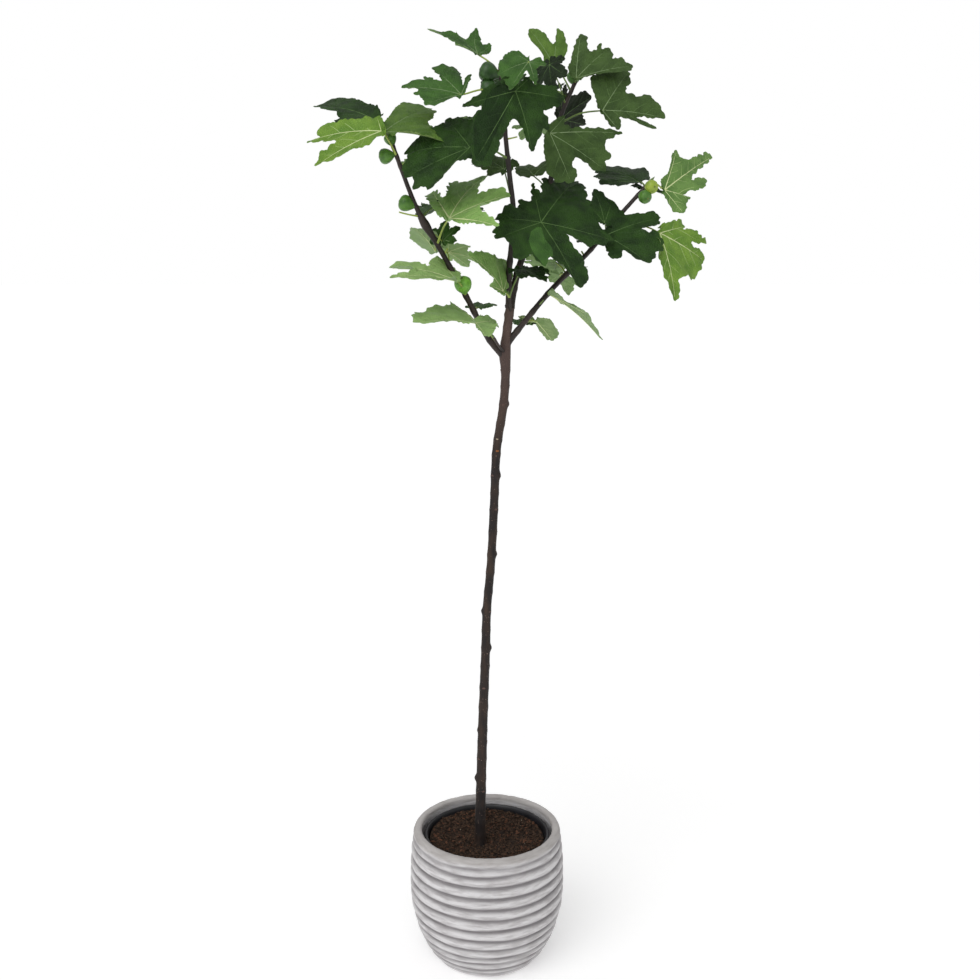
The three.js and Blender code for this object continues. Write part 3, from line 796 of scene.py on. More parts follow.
def limb_radius(limb, share):
    """Taper, a collar where the limb leaves the wood below, a swelling at each leaf, and an old knot."""
    length = limb["line"].length
    radius = limb["foot"] + (limb["tip"] - limb["foot"]) * share
    collar = COLLAR * math.exp(-share * length / COLLAR_LENGTH) if limb["bare"] else 0
    swell = sum(bell((share - joint) * length, NODE_LENGTH) for joint in limb["joints"])
    place, spread, lift = OLD_KNOT.get(limb["name"], (0, 1, 0))
    knot = lift * bell((share - place) * length, spread)
    return radius * (1 + collar + NODE_SWELL * min(1, swell)) + knot


print("the left limb is", round(limb_radius(LIMBS["left"], 0.5), 1), "mm in radius halfway up")

# %% [markdown]
# ## One fig leaf
#
# A fig leaf is a hand of rounded lobes round the point where the stalk joins. An image on a card
# would be the usual cheat. Here each blade is real. Its edge is a radius for every bearing round
# that point. A leaf that nothing singles out gets its edge by rule: the lobes are ellipses and the
# bays lie between them. A leaf that is plainly seen gets a smooth curve through a few listed knots.
# Blunt lobules then swell out along the sides. The veins are drawn inside the edge, and the flat
# pattern is cut into triangles that follow edge and veins. Only then is it lifted: cupped, drooping,
# wavy at the margin and puckered between the veins. The veins are thin cords along those valleys.

# %% The seeded rule of the leaves
LOBE_JITTER, LEAST_REACH = 0.08, 0.26
MIDDLE_LOBE = (0, 1.0, 0.215)
SIDE_LOBES = [(42, 0.85, 0.19), (88, 0.55, 0.155), (130, 0.27, 0.11)]


def seeded(seed):
    """Numbers from 0 to 1 that are the same for the same seed."""
    state = seed * 48271 % 2147483647

    def number():
        nonlocal state
        state = state * 16807 % 2147483647
        return state / 2147483647
    return number


def blade_axes(heading, pitch, roll):
    """Along the midrib, to its left, and out of the upper face."""
    along = direction(heading, pitch)
    level = np.array([-math.sin(math.radians(heading)), math.cos(math.radians(heading)), 0])
    left = level * math.cos(math.radians(roll)) + np.cross(along, level) * math.sin(math.radians(roll))
    return along, left, np.cross(along, left)


def lobes_by_rule(number):
    """Every lobe (bearing, reach, half width) from the right ear to the left, with small changes."""
    right_lobes = [(-bearing, reach, width) for bearing, reach, width in reversed(SIDE_LOBES)]
    lobes = []
    for bearing, reach, width in [*right_lobes, MIDDLE_LOBE, *SIDE_LOBES]:
        change = 1 + LOBE_JITTER * (2 * number() - 1)
        lobes.append((bearing, max(reach * change, LEAST_REACH), width))
    return lobes


print("seven lobes by rule reach", [round(lobe[1], 2) for lobe in lobes_by_rule(seeded(1))])


# %% The edge by rule
BEARINGS = np.linspace(-180, 180, 721)
LOBE_TIP = 0.38
BAY_BEARINGS, BAY_SHARES = [21, 65, 109], [0.56, 0.62, 0.88]
STALK_NOTCH, STALK_REACH = [(25, 0.42), (50, 0.12)], 0.03
EDGE_WAVER = (0.05, 13)
CORNER_ROUND = 11


def lobe_radius(bearing, reach, width):
    """How far out an ellipse reaches along each bearing, with its far end at the lobe's tip."""
    turn = np.radians(BEARINGS - bearing)
    centre, half = (1 - LOBE_TIP) * reach, LOBE_TIP * reach
    square = (np.cos(turn) / half) ** 2 + (np.sin(turn) / width) ** 2
    linear = centre * np.cos(turn) / half ** 2
    rest = linear ** 2 - square * (centre ** 2 / half ** 2 - 1)
    hit = (rest > 0) & (np.cos(turn) > 0)
    return np.where(hit, (linear + np.sqrt(np.maximum(rest, 0))) / square, 0)


def blade_radius(lobes, seed):
    """The smooth edge: the bays as a core, the lobes over it, and all corners rounded."""
    knots = []
    for (first, near, *_), (second, far, *_) in zip(lobes, lobes[1:]):
        share = np.interp(abs(first + second) / 2, BAY_BEARINGS, BAY_SHARES)
        knots.append(((first + second) / 2, share * min(near, far)))
    for (end, reach, *_), side in ((lobes[0], -1), (lobes[-1], 1)):
        for step, share in STALK_NOTCH:
            knots.append((side * min(abs(end + side * step), 176), share * reach))
    knots.sort()
    radius = np.interp(BEARINGS, *zip(*[(-180, STALK_REACH), *knots, (180, STALK_REACH)]))
    for bearing, reach, width, _ in lobes:
        radius = np.maximum(radius, lobe_radius(bearing, reach, width))
    depth, length = EDGE_WAVER
    radius *= 1 + depth * np.array([noise.noise(Vector((b / length, seed * 1.7, 0))) for b in BEARINGS])
    kernel = np.hanning(CORNER_ROUND)
    return np.convolve(np.pad(radius, CORNER_ROUND // 2, mode="edge"), kernel / kernel.sum(), mode="valid")


# %% The edge through knots
def radius_through(knots):
    """The edge as one smooth closed curve through (bearing, reach) knots."""
    around = knots[-2:] + knots + knots[:2]
    loop = Line([reach * direction(bearing, 0) for bearing, reach, *_ in around]).dense
    bearings = np.degrees(np.unwrap(np.arctan2(loop[:, 1], loop[:, 0])))
    bearings += around[0][0] - 360 - bearings[0]
    order = np.argsort(bearings)
    return np.interp(BEARINGS, bearings[order], np.hypot(loop[:, 0], loop[:, 1])[order])


four = [(-135, 1), (-45, 1), (45, 1), (135, 1)]
print("an edge through four knots at 1 stays above", round(float(radius_through(four).min()), 2))


def lobes_of(knots, apart):
    """The knots that stand out over their neighbours are the tips of lobes, with no fixed width."""
    around = knots[-1:] + knots + knots[:1]
    threes = zip(around, knots, around[2:])
    tips = [knot for before, knot, after in threes if knot[1] >= max(before[1], after[1])]
    kept = []
    for tip in sorted(tips, key=lambda knot: -knot[1]):
        if all(abs(tip[0] - other[0]) >= apart for other in kept):
            kept.append(tip)
    return [(tip[0], tip[1], 0, *tip[2:]) for tip in sorted(kept)]


# %% Lobules and teeth
EDGE_STEP = 2.7
LOBULE_SPACING, LOBULE_DEPTH, KNOTTED_DEPTH = 0.19, 0.03, 0.018
LOBULES_FROM, LOBULES_GROW, TIP_LOBULE = 0.5, 0.2, 0.6
TOOTH_SPACING, TOOTH_DEPTH = 0.085, 0.006


def closed(points):
    return np.vstack([points, points[:1]])


def blade_edge(lobes, radius, seed, length):
    """Evenly spaced points along the edge, with lobules counted from each lobe's tip."""
    turn = np.radians(BEARINGS[:-1])
    loop = closed(np.stack([radius[:-1] * np.cos(turn), radius[:-1] * np.sin(turn)], 1))
    run = np.concatenate([[0], np.cumsum(np.linalg.norm(np.diff(loop, axis=0), axis=1))])
    count = int(run[-1] * length / EDGE_STEP)
    places = np.linspace(0, run[-1], count, endpoint=False)
    line = np.stack([np.interp(places, run, loop[:, axis]) for axis in (0, 1)], 1)
    ahead = np.roll(line, -1, 0) - np.roll(line, 1, 0)
    normal = np.stack([ahead[:, 1], -ahead[:, 0]], 1)
    normal /= np.linalg.norm(normal, axis=1)[:, None] + 1e-9
    tips = np.interp([lobe[0] for lobe in lobes], BEARINGS, run)
    nearest = np.abs(places[:, None] - tips).argmin(1)
    number = seeded(seed + 40)
    swell = np.zeros(count)
    for index, (_, reach, width, _) in enumerate(lobes):
        for side in (-1, 1):
            spacing = LOBULE_SPACING * (0.85 + 0.4 * number()) * (0.7 + 0.3 * reach)
            usual = LOBULE_DEPTH if width else KNOTTED_DEPTH
            depth = usual * (0.75 + 0.6 * number()) * (0.5 + 0.5 * reach)
            mine = (nearest == index) & (side * (places - tips[index]) >= 0)
            away = np.abs(places[mine] - tips[index]) / spacing
            share = np.linalg.norm(line[mine], axis=1) / reach
            grown = np.clip((share - LOBULES_FROM) / LOBULES_GROW, 0, 1)
            weight = grown * np.where(away < 0.5, TIP_LOBULE, 1)
            swell[mine] = depth * weight * (2 * np.abs(np.cos(math.pi * away)) ** 0.8 - 1)
    teeth = TOOTH_DEPTH * (2 * np.abs(np.cos(math.pi * places / TOOTH_SPACING)) - 1)
    return line + normal * (swell + teeth)[:, None]


# %% Its veins, drawn flat
VEIN_SPACING, VEIN_STEP, VEIN_STEPS = 0.1, 0.035, 10
VEIN_ANGLE, VEIN_BEND = 50, 2.5
VEIN_END, VEIN_FIRST, VEIN_LAST = 0.92, 0.15, 0.86
SMALLEST_VEINED = 0.4
HALF_WAY = 0.52


def vein_lines(lobes, radius):
    """Main veins to the tips and side veins off them, each as (is_main, flat points)."""
    lines = []
    for index, (bearing, reach, *_) in enumerate(lobes):
        along = direction(bearing, 0)[:2]
        lines.append((True, np.outer(np.linspace(0, 0.95 * reach, 14), along)))
        if reach < SMALLEST_VEINED:
            continue
        beside = [lobes[other] for other in (index - 1, index + 1) if 0 <= other < len(lobes)]
        widest = HALF_WAY * min((abs(lobe[0] - bearing) for lobe in beside), default=90)
        for number, start in enumerate(np.arange(VEIN_FIRST, VEIN_LAST * reach, VEIN_SPACING)):
            side = 1 if number % 2 else -1
            points = [start * along]
            for step in range(1, VEIN_STEPS + 1):
                turn = bearing + side * (VEIN_ANGLE - VEIN_BEND * step)
                following = points[-1] + VEIN_STEP * direction(turn, 0)[:2]
                own = math.degrees(math.atan2(following[1], following[0]))
                edge = np.interp(own, BEARINGS, radius)
                if np.hypot(*following) > VEIN_END * edge or abs(own - bearing) > widest:
                    break
                points.append(following)
            if len(points) > 2:
                lines.append((False, np.array(points)))
    return lines


# %% A blade: its pattern and its rise
TIP_SPACING, VEIN_APART = 12, 28
LEAF_CUP, LEAF_DROOP = 0.12, 0.2
LOBE_FOLD, LOBE_FOLD_WIDTH = 0.16, 0.13
TIP_LIFT, TIP_DROOP, KNOTTED_DROOP = 0.03, 0.14, 0.06
CURL_FROM, CURL_END, CURL_LENGTH = 0.3, 0.8, 0.7
PUCKER, PUCKER_WIDTH = 0.015, 0.03
MARGIN_WAVES = [(0.03, 6), (0.018, 11), (0.008, 31)]
INNER_STEP, EDGE_CLEAR, VEIN_CLEAR = 0.052, 0.03, 0.018
FAR = 9


def within(points, loop):
    """Which points lie inside a closed loop: a ray to the right crosses it an odd number of times."""
    following = np.roll(loop, -1, 0)
    x, y = points[:, :1], points[:, 1:]
    spans = (loop[:, 1] > y) != (following[:, 1] > y)
    slope = (following[:, 0] - loop[:, 0]) / (following[:, 1] - loop[:, 1] + 1e-15)
    return (spans & (x < loop[:, 0] + (y - loop[:, 1]) * slope)).sum(1) % 2 == 1


class Blade:
    """The flat pattern of one blade of length 1, and how high its surface stands over it.

    knots give the edge of a leaf that is plainly seen, and patch outlines its part of a second tint,
    painted shade on one leaf and painted light on another."""

    def __init__(self, knots, seed, length, patch=()):
        number = seeded(seed + 80)
        lobes = lobes_of(knots, TIP_SPACING) if knots else lobes_by_rule(seeded(seed))
        droop = KNOTTED_DROOP if knots else TIP_DROOP
        curls = [lobe[1] * (TIP_LIFT - droop * number()) for lobe in lobes]
        self.lobes = [lobe if len(lobe) > 3 else (*lobe, curl) for lobe, curl in zip(lobes, curls)]
        self.radius = radius_through(knots) if knots else blade_radius(self.lobes, seed)
        self.edge = blade_edge(self.lobes, self.radius, seed, length)
        self.veins = vein_lines(lobes_of(knots, VEIN_APART) if knots else lobes, self.radius)
        self.vein_points = np.concatenate([line for _, line in self.veins])
        self.phases = [6.3 * number() for _ in MARGIN_WAVES]
        self.patch = np.array([reach * direction(bearing, 0)[:2] for bearing, reach in patch])
        self.cut()

    def inner_points(self):
        """A grid of points that keeps clear of the edge and of the veins."""
        grid = np.arange(-1, 1.05, INNER_STEP)
        for row, u in enumerate(grid):
            for v in grid + (row % 2) * INNER_STEP / 2:
                reach = np.interp(math.degrees(math.atan2(v, u)), BEARINGS, self.radius)
                clear = np.hypot(*(self.vein_points - (u, v)).T).min()
                if np.hypot(u, v) < reach - EDGE_CLEAR and clear > VEIN_CLEAR:
                    yield u, v

    def cut(self):
        """Triangles that follow the edge and the veins, by Blender's own Delaunay cutter."""
        points = [tuple(point) for point in self.edge]
        edges = [(n, (n + 1) % len(points)) for n in range(len(points))]
        patch = [closed(self.patch)] if len(self.patch) else []
        for line in [*(line for _, line in self.veins), *patch]:
            first = len(points)
            points += [tuple(point) for point in line]
            edges += [(first + n, first + n + 1) for n in range(len(line) - 1)]
        points += self.inner_points()
        cut = delaunay_2d_cdt([Vector(point) for point in points], edges, [], 0, 1e-5, False)
        self.flat = np.array([tuple(point) for point in cut[0]])
        faces = np.array([tuple(face) for face in cut[2]])
        a, b, c = (self.flat[faces[:, corner]] for corner in range(3))
        turn = (b[:, 0] - a[:, 0]) * (c[:, 1] - a[:, 1]) - (b[:, 1] - a[:, 1]) * (c[:, 0] - a[:, 0])
        faces[turn < 0] = faces[turn < 0][:, ::-1]
        kept = within((a + b + c) / 3, self.edge) & (np.abs(turn) > 1e-9)
        self.triangles = [tuple(int(corner) for corner in face) for face in faces[kept]]

    def rise(self, flat):
        """The height of the surface over flat points."""
        u, v = flat[:, 0], flat[:, 1]
        radius = np.hypot(u, v)
        bearing = np.degrees(np.arctan2(v, u))
        share = np.clip(radius / np.interp(bearing, BEARINGS, self.radius), 0, 1.1)
        height = LEAF_CUP * (np.sqrt(v ** 2 + 0.0025) - 0.05) - LEAF_DROOP * radius ** 2
        aside, curled, weights = np.full(len(flat), float(FAR)), 0, 0.2
        for lobe, reach, _, curl in self.lobes:
            turn = np.radians(bearing - lobe)
            own = np.where(np.cos(turn) > 0, np.abs(radius * np.sin(turn)), FAR)
            weight = np.exp(-((own / LOBE_FOLD_WIDTH) ** 2))
            out = np.clip(radius * np.cos(turn) / reach - CURL_FROM, 0, CURL_END)
            curled = curled + weight * curl * (out / CURL_LENGTH) ** 2
            weights = weights + weight
            aside = np.minimum(aside, own)
        height = height + curled / weights + LOBE_FOLD * np.minimum(aside, LOBE_FOLD_WIDTH) * share
        clear = np.hypot(u[:, None] - self.vein_points[:, 0], v[:, None] - self.vein_points[:, 1]).min(1)
        height = height + PUCKER * (1 - np.exp(-((clear / PUCKER_WIDTH) ** 2)))
        waves = [
            depth * np.sin(np.radians(bearing) * count + phase)
            for (depth, count), phase in zip(MARGIN_WAVES, self.phases)
        ]
        return height + (waves[0] + waves[1]) * share ** 2.5 + waves[2] * share ** 6

    def faces(self):
        """The upper face, and the underside with the rim that closes the two."""
        shift = len(self.flat)
        under = [tuple(shift + corner for corner in reversed(face)) for face in self.triangles]
        sides = {(face[n], face[(n + 1) % 3]) for face in self.triangles for n in range(3)}
        rim = [(b, a, shift + a, shift + b) for a, b in sorted(sides) if (b, a) not in sides]
        return self.triangles, under + rim


sample = Blade(None, 1, 120)
print("a leaf of 120 mm is cut into", len(sample.triangles), "triangles, with", len(sample.veins), "veins")


# %% Tubes: stalks, veins and stems
def ring_faces(rings, sides):
    """The faces between rings of points one after the other, and the two ends."""
    faces = [
        (ring * sides + side, ring * sides + (side + 1) % sides,
         (ring + 1) * sides + (side + 1) % sides, (ring + 1) * sides + side)
        for ring in range(rings - 1) for side in range(sides)
    ]
    return faces + [tuple(range(sides))[::-1], tuple((rings - 1) * sides + side for side in range(sides))]


def tube(centres, radii, sides):
    """Points and faces of a closed round tube through centres, each ring with its own radius."""
    centres = np.asarray(centres, float)
    steps = np.gradient(centres, axis=0)
    steps /= np.linalg.norm(steps, axis=1)[:, None] + 1e-12
    across = np.cross(steps[0], (0, 0, 1) if abs(steps[0][2]) < 0.9 else (1, 0, 0))
    angles = 2 * math.pi * np.arange(sides) / sides
    rings = []
    for centre, along, radius in zip(centres, steps, radii):
        across = across - along * across.dot(along)
        across /= np.linalg.norm(across)
        turned = np.outer(np.cos(angles), across) + np.outer(np.sin(angles), np.cross(along, across))
        rings.append(centre + radius * turned)
    return np.concatenate(rings), ring_faces(len(centres), sides)


print("a stalk of 16 rings with 8 sides has", len(ring_faces(16, 8)), "faces")


# %% [markdown]
# ## The shoots
#
# Each limb ends in a leafy shoot. Every leaf is one row: where its stalk leaves the stem, which way
# the stalk runs and how long it is, and how its blade lies. The tints differ from leaf to leaf, as
# young and old leaves do, and others are painted light and painted shade for lit and shaded leaves,
# so each leaf also names one, and the tint is the plain colour of its own material. The leaves that
# are plainly seen carry the knots of their edge as well, and two have a patch of a second tint:
# painted shade where a lobe lies in the shade, and painted light where one lies in the light.
# A seeded rule adds leaves on the far side.

# %% Rows of leaves
# A leaf: the share of the limb where its stalk leaves, the stalk's bearing, rise and length, and the
# blade's heading, pitch, roll and length, in degrees and millimetres. Its tint follows, then the
# knots of its edge, and then the tint and the outline of its patch: painted shade on one leaf, painted
# light on another.
LEAVES = {
    "left": [
        ([0.24, 80, 5, 37, 70, 15, 0, 45], "mid"),
        ([0.31, -105, 28, 62, 180, 20, -10, 125], "pale", """
            -150 4, -105 10, -89 32, -77 62, -65 72 10, -52 66, -42 62, -33 50, -28 75, -24 95 12,
            -14 97, -5 92, 2 85, 10 80, 15 60, 20 70, 28 97, 34 95, 42 80, 50 45, 70 20, 120 5, 180 4"""),
        ([0.45, 95, 25, 52, 0, -5, -35, 60], "soft"),
        ([0.58, 90, -20, 75, -135, 50, 0, 70], "pale", """
            -150 10, -110 30, -85 50, -60 68, -37 80, -15 88, 3 93, 20 88, 43 78, 65 60, 90 42, 120 25,
            180 5"""),
        ([0.55, -69, 35, 79, 30, 38, 12, 125], "soft", """
            -130 10, -100 18, -88 42, -80 90, -74 75, -66 58, -58 50, -50 50, -44 70, -38 84, -28 86,
            -15 82, -9 70, -5 54, 6 60, 14 74, 20 112, 27 116, 34 112, 42 98, 48 114, 51 95, 54 52,
            59 54, 63 86, 67 110, 71 110, 76 72, 84 40, 105 15, 150 6, 180 4"""),
        ([0.60, 60, -20, 40, 80, 60, -5, 45], "mid"),
        ([0.97, -130, 50, 32, 25, 20, 30, 108], "leafy", """
            -150 5, -100 12, -60 25, -50 40, -47 75, -43 94, -36 80, -28 80, -18 76, -8 74, -1 78, 4 90,
            10 103, 16 105, 22 114, 30 112, 38 112, 44 100, 48 75, 52 40, 65 20, 110 8, 180 4"""),
        ([0.93, -125, 45, 57, -170, -8, -40, 125], "bright", """
            -150 8, -103 18, -89 30, -65 30, -45 36, -32 60, -26 86, -21 88, -18 82, -16 100, -12 100,
            -9 80, -2 78, 2 64, 8 64, 12 85, 19 100, 24 86, 28 78, 33 56, 46 34, 70 20, 120 10, 180 4"""),
        ([0.99, 118, 32, 72, 170, 12, -28, 120], "dark", """
            -150 6, -110 15, -70 30, -55 50, -45 80, -40 105, -32 118, -24 120, -17 112, -12 95, -6 80,
            -2 62, 8 55, 20 60, 30 62, 45 66, 58 70, 69 68, 83 44, 110 20, 180 4"""),
    ],
    "right": [
        ([0.31, -85, 0, 40, -15, -28, -15, 118], "pale", """
            -150 5, -100 15, -65 35, -45 45, -30 75, -22 70, -14 85, -5 95, 0 100, 6 92, 14 70, 22 72,
            30 60, 45 35, 65 35, 100 15, 180 4"""),
        ([0.43, 105, -5, 35, 65, -25, 10, 60], "mid"),
        ([0.68, -90, 0, 48, -15, 5, 40, 110], "dark", """
            -130 12, -100 20, -85 30, -78 50, -70 58, -61 60, -54 55, -50 64, -47 84, -41 95, -31 93,
            -24 88, -17 94, -6 90, 2 84, 6 58, 10 58, 14 86, 22 88, 30 94, 38 93, 43 72, 48 60, 56 52,
            66 25, 100 15, 180 4"""),
        ([0.70, -100, 20, 45, 95, 60, 25, 70], "dark", """
            -130 15, -100 35, -75 55, -62 70, -52 80, -42 74, -34 84, -25 90, -14 85, -5 95, 6 102,
            15 85, 28 65, 45 65, 60 50, 85 35, 120 15, 180 5"""),
        ([0.75, -35, -10, 95, 10, -45, 55, 130], "bright", """
            -150 6, -100 12, -75 22, -60 38, -53 53, -43 77, -35 92, -31 88, -27 68, -20 66, -8 70,
            -4 78, 5 84, 15 84, 25 86, 30 84, 33 55, 36 58, 41 86, 45 84, 46 66, 51 70, 55 60, 57 45,
            61 52, 70 52, 77 38, 90 20, 120 12, 180 4"""),
        ([0.97, 105, 15, 35, 160, 20, -15, 95], "dark", """
            -130 20, -100 45, -80 70, -62 72, -45 85, -30 100, -20 108, -8 95, 5 80, 20 85, 38 82,
            55 90, 66 60, 90 35, 130 15, 180 5"""),
        ([1.00, 20, -25, 33, 25, 14, 60, 108], "light", """
            -150 10, -118 18, -95 37, -78 50, -66 47, -58 42, -48 42, -36 46, -31 48, -27 34, -20 40,
            -14 66, -7 80, 0 90, 4 86, 6 58, 9 62, 14 80, 17 120, 19 146, 22 146, 25 115, 30 88, 37 78,
            42 82, 47 88, 51 78, 53 48, 58 28, 75 22, 96 16, 131 8, 180 4"""),
    ],
    "front": [
        ([0.41, 120, 65, 83, 140, 30, -20, 65], "olive"),
        ([0.64, -135, 10, 91, -175, -15, -40, 125], "dark", """
            -150 10, -125 30, -104 62, -90 62, -77 72, -63 62, -52 72, -41 86, -27 95, -17 86, -8 93,
            6 94, 13 86, 20 93, 28 84, 37 84, 41 60, 46 35, 70 30, 110 20, 150 8, 180 4"""),
        ([0.85, -75, 15, 78, -125, -55, -55, 130], "dark", """
            -150 12, -110 20, -82 27, -61 42, -50 58, -45 77, -40 62, -38 54, -30 70, -16 88, -6 108,
            3 103, 6 60, 9 45, 16 38, 27 42, 37 56, 42 76, 50 66, 57 58, 66 62, 75 55, 83 42, 92 48,
            103 60, 114 68, 124 50, 140 30, 158 36, 172 15, 180 5""", "deep", """
            -172 2, -120 10, -82 20, -61 33, -48 44, -40 49, -36 54, -30 68, -23 77, -16 86, -10 98,
            -5 103, -1 100, -2 70, -2 40, -3 15"""),
        ([0.91, -160, -5, 73, 170, 15, -35, 98], "mid", """
            -150 5, -110 15, -94 30, -87 68, -82 62, -79 28, -73 50, -67 85, -58 88, -50 93, -42 98,
            -39 70, -35 55, -29 54, -26 88, -20 80, -12 100, -4 108, 2 100, 5 82, 11 72, 18 80, 24 68,
            36 66, 44 68, 55 62, 64 46, 74 25, 110 10, 180 4"""),
        ([0.98, 175, 40, 50, 170, 35, -12, 90], "mid", """
            -150 5, -120 15, -100 45, -88 60 20, -75 50, -66 70, -58 80 25, -48 62, -36 55, -28 72 12,
            -20 66, -12 80, -5 92, 3 104 2, 10 90, 18 60, 30 42, 42 50, 60 30, 110 15, 180 4"""),
        ([0.99, -45, 10, 67, -125, -30, -25, 70], "mid", """
            -150 10, -120 35, -100 55, -88 50, -77 60, -62 64, -47 73, -36 76, -27 86, -13 86, -4 90,
            4 100, 9 95, 14 70, 20 44, 28 50, 33 68, 40 84, 52 50, 62 32, 90 40, 120 40, 150 20, 180 4"""),
    ],
    "back": [
        ([0.36, -85, 5, 81, -35, -35, 25, 150], "dark", """
            -170 34, -158 40, -144 46, -132 52, -121 50, -108 60, -96 66, -87 60, -79 60, -70 66,
            -62 65, -55 56, -47 64, -40 66, -35 58, -26 66, -20 76, -14 92, -6 90, 0 80, 6 60, 11 40,
            18 33, 21 50, 24 64, 32 76, 41 86, 50 74, 61 72, 72 68, 82 72, 92 78, 100 92, 111 103,
            122 92, 132 82, 137 46, 141 48, 145 63, 150 45, 156 34, 163 36, 172 44, 180 36""", "mid", """
            -44 10, -35 28, -27 43, -30 54, -35 64, -41 70, -45 62, -51 57, -58 49, -67 38, -75 24,
            -68 12"""),
        ([0.51, 150, 45, 40, 90, 30, -10, 65], "olive", """
            -140 10, -100 30, -75 40, -52 70, -29 105, -14 85, -5 60, 4 85, 17 105, 38 80, 60 55, 95 35,
            140 10, 180 5"""),
        ([0.68, -100, 25, 70, -10, -30, 65, 125], "olive", """
            -130 8, -95 15, -75 32, -67 42, -59 60, -46 72, -36 75, -28 72, -23 52, -15 48, -8 54,
            -5 80, 2 90, 9 86, 14 90, 20 78, 25 76, 31 88, 36 102, 40 75, 43 42, 50 28, 65 24, 80 30,
            100 20, 140 10, 180 4"""),
        ([0.80, -20, 15, 83, 10, 12, 55, 120], "olive", """
            -150 6, -110 10, -88 15, -80 30, -73 42, -62 37, -50 28, -42 30, -39 68, -31 82, -26 60,
            -22 50, -19 65, -15 94, -6 88, 2 82, 9 80, 12 70, 13 56, 20 55, 27 47, 33 55, 38 72, 46 88,
            56 80, 66 84, 76 72, 86 62, 94 48, 102 20, 140 8, 180 4"""),
        ([0.85, 90, -10, 50, 45, 25, -60, 85], "shade", """
            -140 15, -115 50, -95 90, -82 72, -65 55, -48 60, -30 80, -13 92, 0 78, 12 70, 22 85,
            30 102, 36 88, 44 86, 55 60, 75 40, 110 20, 180 5"""),
        ([0.89, -120, 45, 88, -90, -60, 40, 55], "shade"),
        ([0.95, -175, 55, 55, 170, 60, -60, 75], "leafy", """
            -150 6, -110 15, -85 28, -72 50, -66 60, -57 70, -49 82, -42 88, -37 90, -36 62, -28 49,
            -23 57, -17 76, -9 93, 0 103, 7 95, 13 80, 18 52, 31 30, 60 25, 110 15, 180 4"""),
        ([0.99, -85, 20, 18, 15, 45, 48, 100], "olive", """
            -150 5, -100 8, -60 12, -50 30, -46 50, -44 82, -42 98, -34 100, -27 90, -21 88, -18 74,
            -13 76, -5 82, 2 84, 7 72, 11 84, 13 56, 20 58, 29 72, 35 97, 41 100, 45 80, 52 50, 60 35,
            75 25, 110 10, 180 4"""),
    ],
    "low_left": [
        ([0.90, -150, 38, 48, -175, 18, -12, 112], "pale", """
            -157 36, -140 50, -124 60, -112 56, -104 32, -90 18, -77 30, -71 62, -66 80, -57 74, -46 65,
            -37 66, -30 76, -22 80, -5 87, 6 96, 16 102, 25 103, 32 96, 36 75, 40 40, 60 20, 86 20,
            98 38, 107 52, 117 50, 127 42, 150 32, 180 32"""),
    ],
    "low_right": [
        ([0.73, 75, 10, 30, 105, 15, 0, 45], "mid"),
        ([1.00, 40, 0, 25, 50, -40, -15, 60], "light", """
            -150 6, -130 16, -110 22, -90 34, -65 50, -43 70, -30 84, -20 88, -8 90, 0 80, 7 52, 20 30,
            50 22, 70 25, 82 48, 90 60, 105 50, 125 53, 137 56, 147 35, 165 10, 180 4"""),
    ],
    "low_front": [
        ([1.00, -120, 25, 25, -135, 60, -60, 90], "soft", """
            -150 8, -110 30, -95 80, -85 95, -72 85, -60 75, -45 72, -32 74, -22 74, -10 86, -3 92,
            6 100, 13 108, 19 105, 23 85, 28 56, 38 58, 48 66, 56 40, 75 20, 120 10, 180 5"""),
        ([1.00, -40, 60, 57, -50, -5, 5, 60], "dark"),
    ],
}
# A fig: the share of the limb, its bearing and rise, its length, and its skin.
FIGS = {
    "left": [[0.315, -110, 60, 38, "bright"], [0.72, 180, 20, 34, "green"], [0.94, 180, -10, 32, "green"],
             [0.97, 180, 70, 26, "green"]],
    "right": [[0.93, -60, -20, 30, "green"], [0.97, -60, 0, 30, "pale"]],
    "front": [[0.97, 180, 20, 40, "dark"], [0.93, 180, -6, 38, "dark"]],
    "back": [[0.98, 90, 60, 30, "green"]],
}
print(sum(map(len, LEAVES.values())), "leaves and", sum(map(len, FIGS.values())), "figs are listed")

# %% The rule for the far side
FILL = {
    "left": {"tried": 3, "seed": 65, "found_room": (1, 2)},
    "right": {"tried": 4, "seed": 84, "found_room": (0, 1, 2, 3)},
    "front": {"tried": 4, "seed": 119, "found_room": (2, 3)},
    "back": {"tried": 4, "seed": 9, "found_room": (0, 2, 3)},
}
FILL_FROM = 0.35
FILL_BEARING, FILL_SPREAD, FILL_TURN = 90, 55, 27.5
FILL_RISE, FILL_STALK, FILL_LENGTH = (5, 35), (35, 60), (60, 105)
FILL_PITCH, FILL_ROLL = (-18, 4), 12


def filling_rows(name):
    """The leaves that the seeded rule puts on a shoot, without those that found no room."""
    rule = FILL.get(name)
    if not rule:
        return []
    number = seeded(rule["seed"])

    def between(low, high):
        return low + (high - low) * number()

    rows = []
    for index in range(rule["tried"]):
        share = FILL_FROM + (1 - FILL_FROM) * (index + 0.5) / rule["tried"]
        bearing = FILL_BEARING + FILL_SPREAD * (2 * number() - 1)
        rise, stalk = between(*FILL_RISE), between(*FILL_STALK)
        heading = bearing + FILL_TURN * (2 * number() - 1)
        pitch = between(*FILL_PITCH)
        roll = FILL_ROLL * (2 * number() - 1)
        row = [share, bearing, rise, stalk, heading, pitch, roll, between(*FILL_LENGTH)]
        if index in rule["found_room"]:
            rows.append((row, ("mid", "dark")[index % 2], rule["seed"] + index, None, None))
    return rows


# %% All leaves of every shoot
def knots_of(text):
    """The knots of an edge, each written as its bearing and its reach in hundredths of the blade.

    A third number, where there is one, is how far that lobe's tip curls up."""
    knots = []
    for knot in text.split(","):
        bearing, *shares = map(int, knot.split())
        knots.append((bearing, *(share / 100 for share in shares)))
    return knots


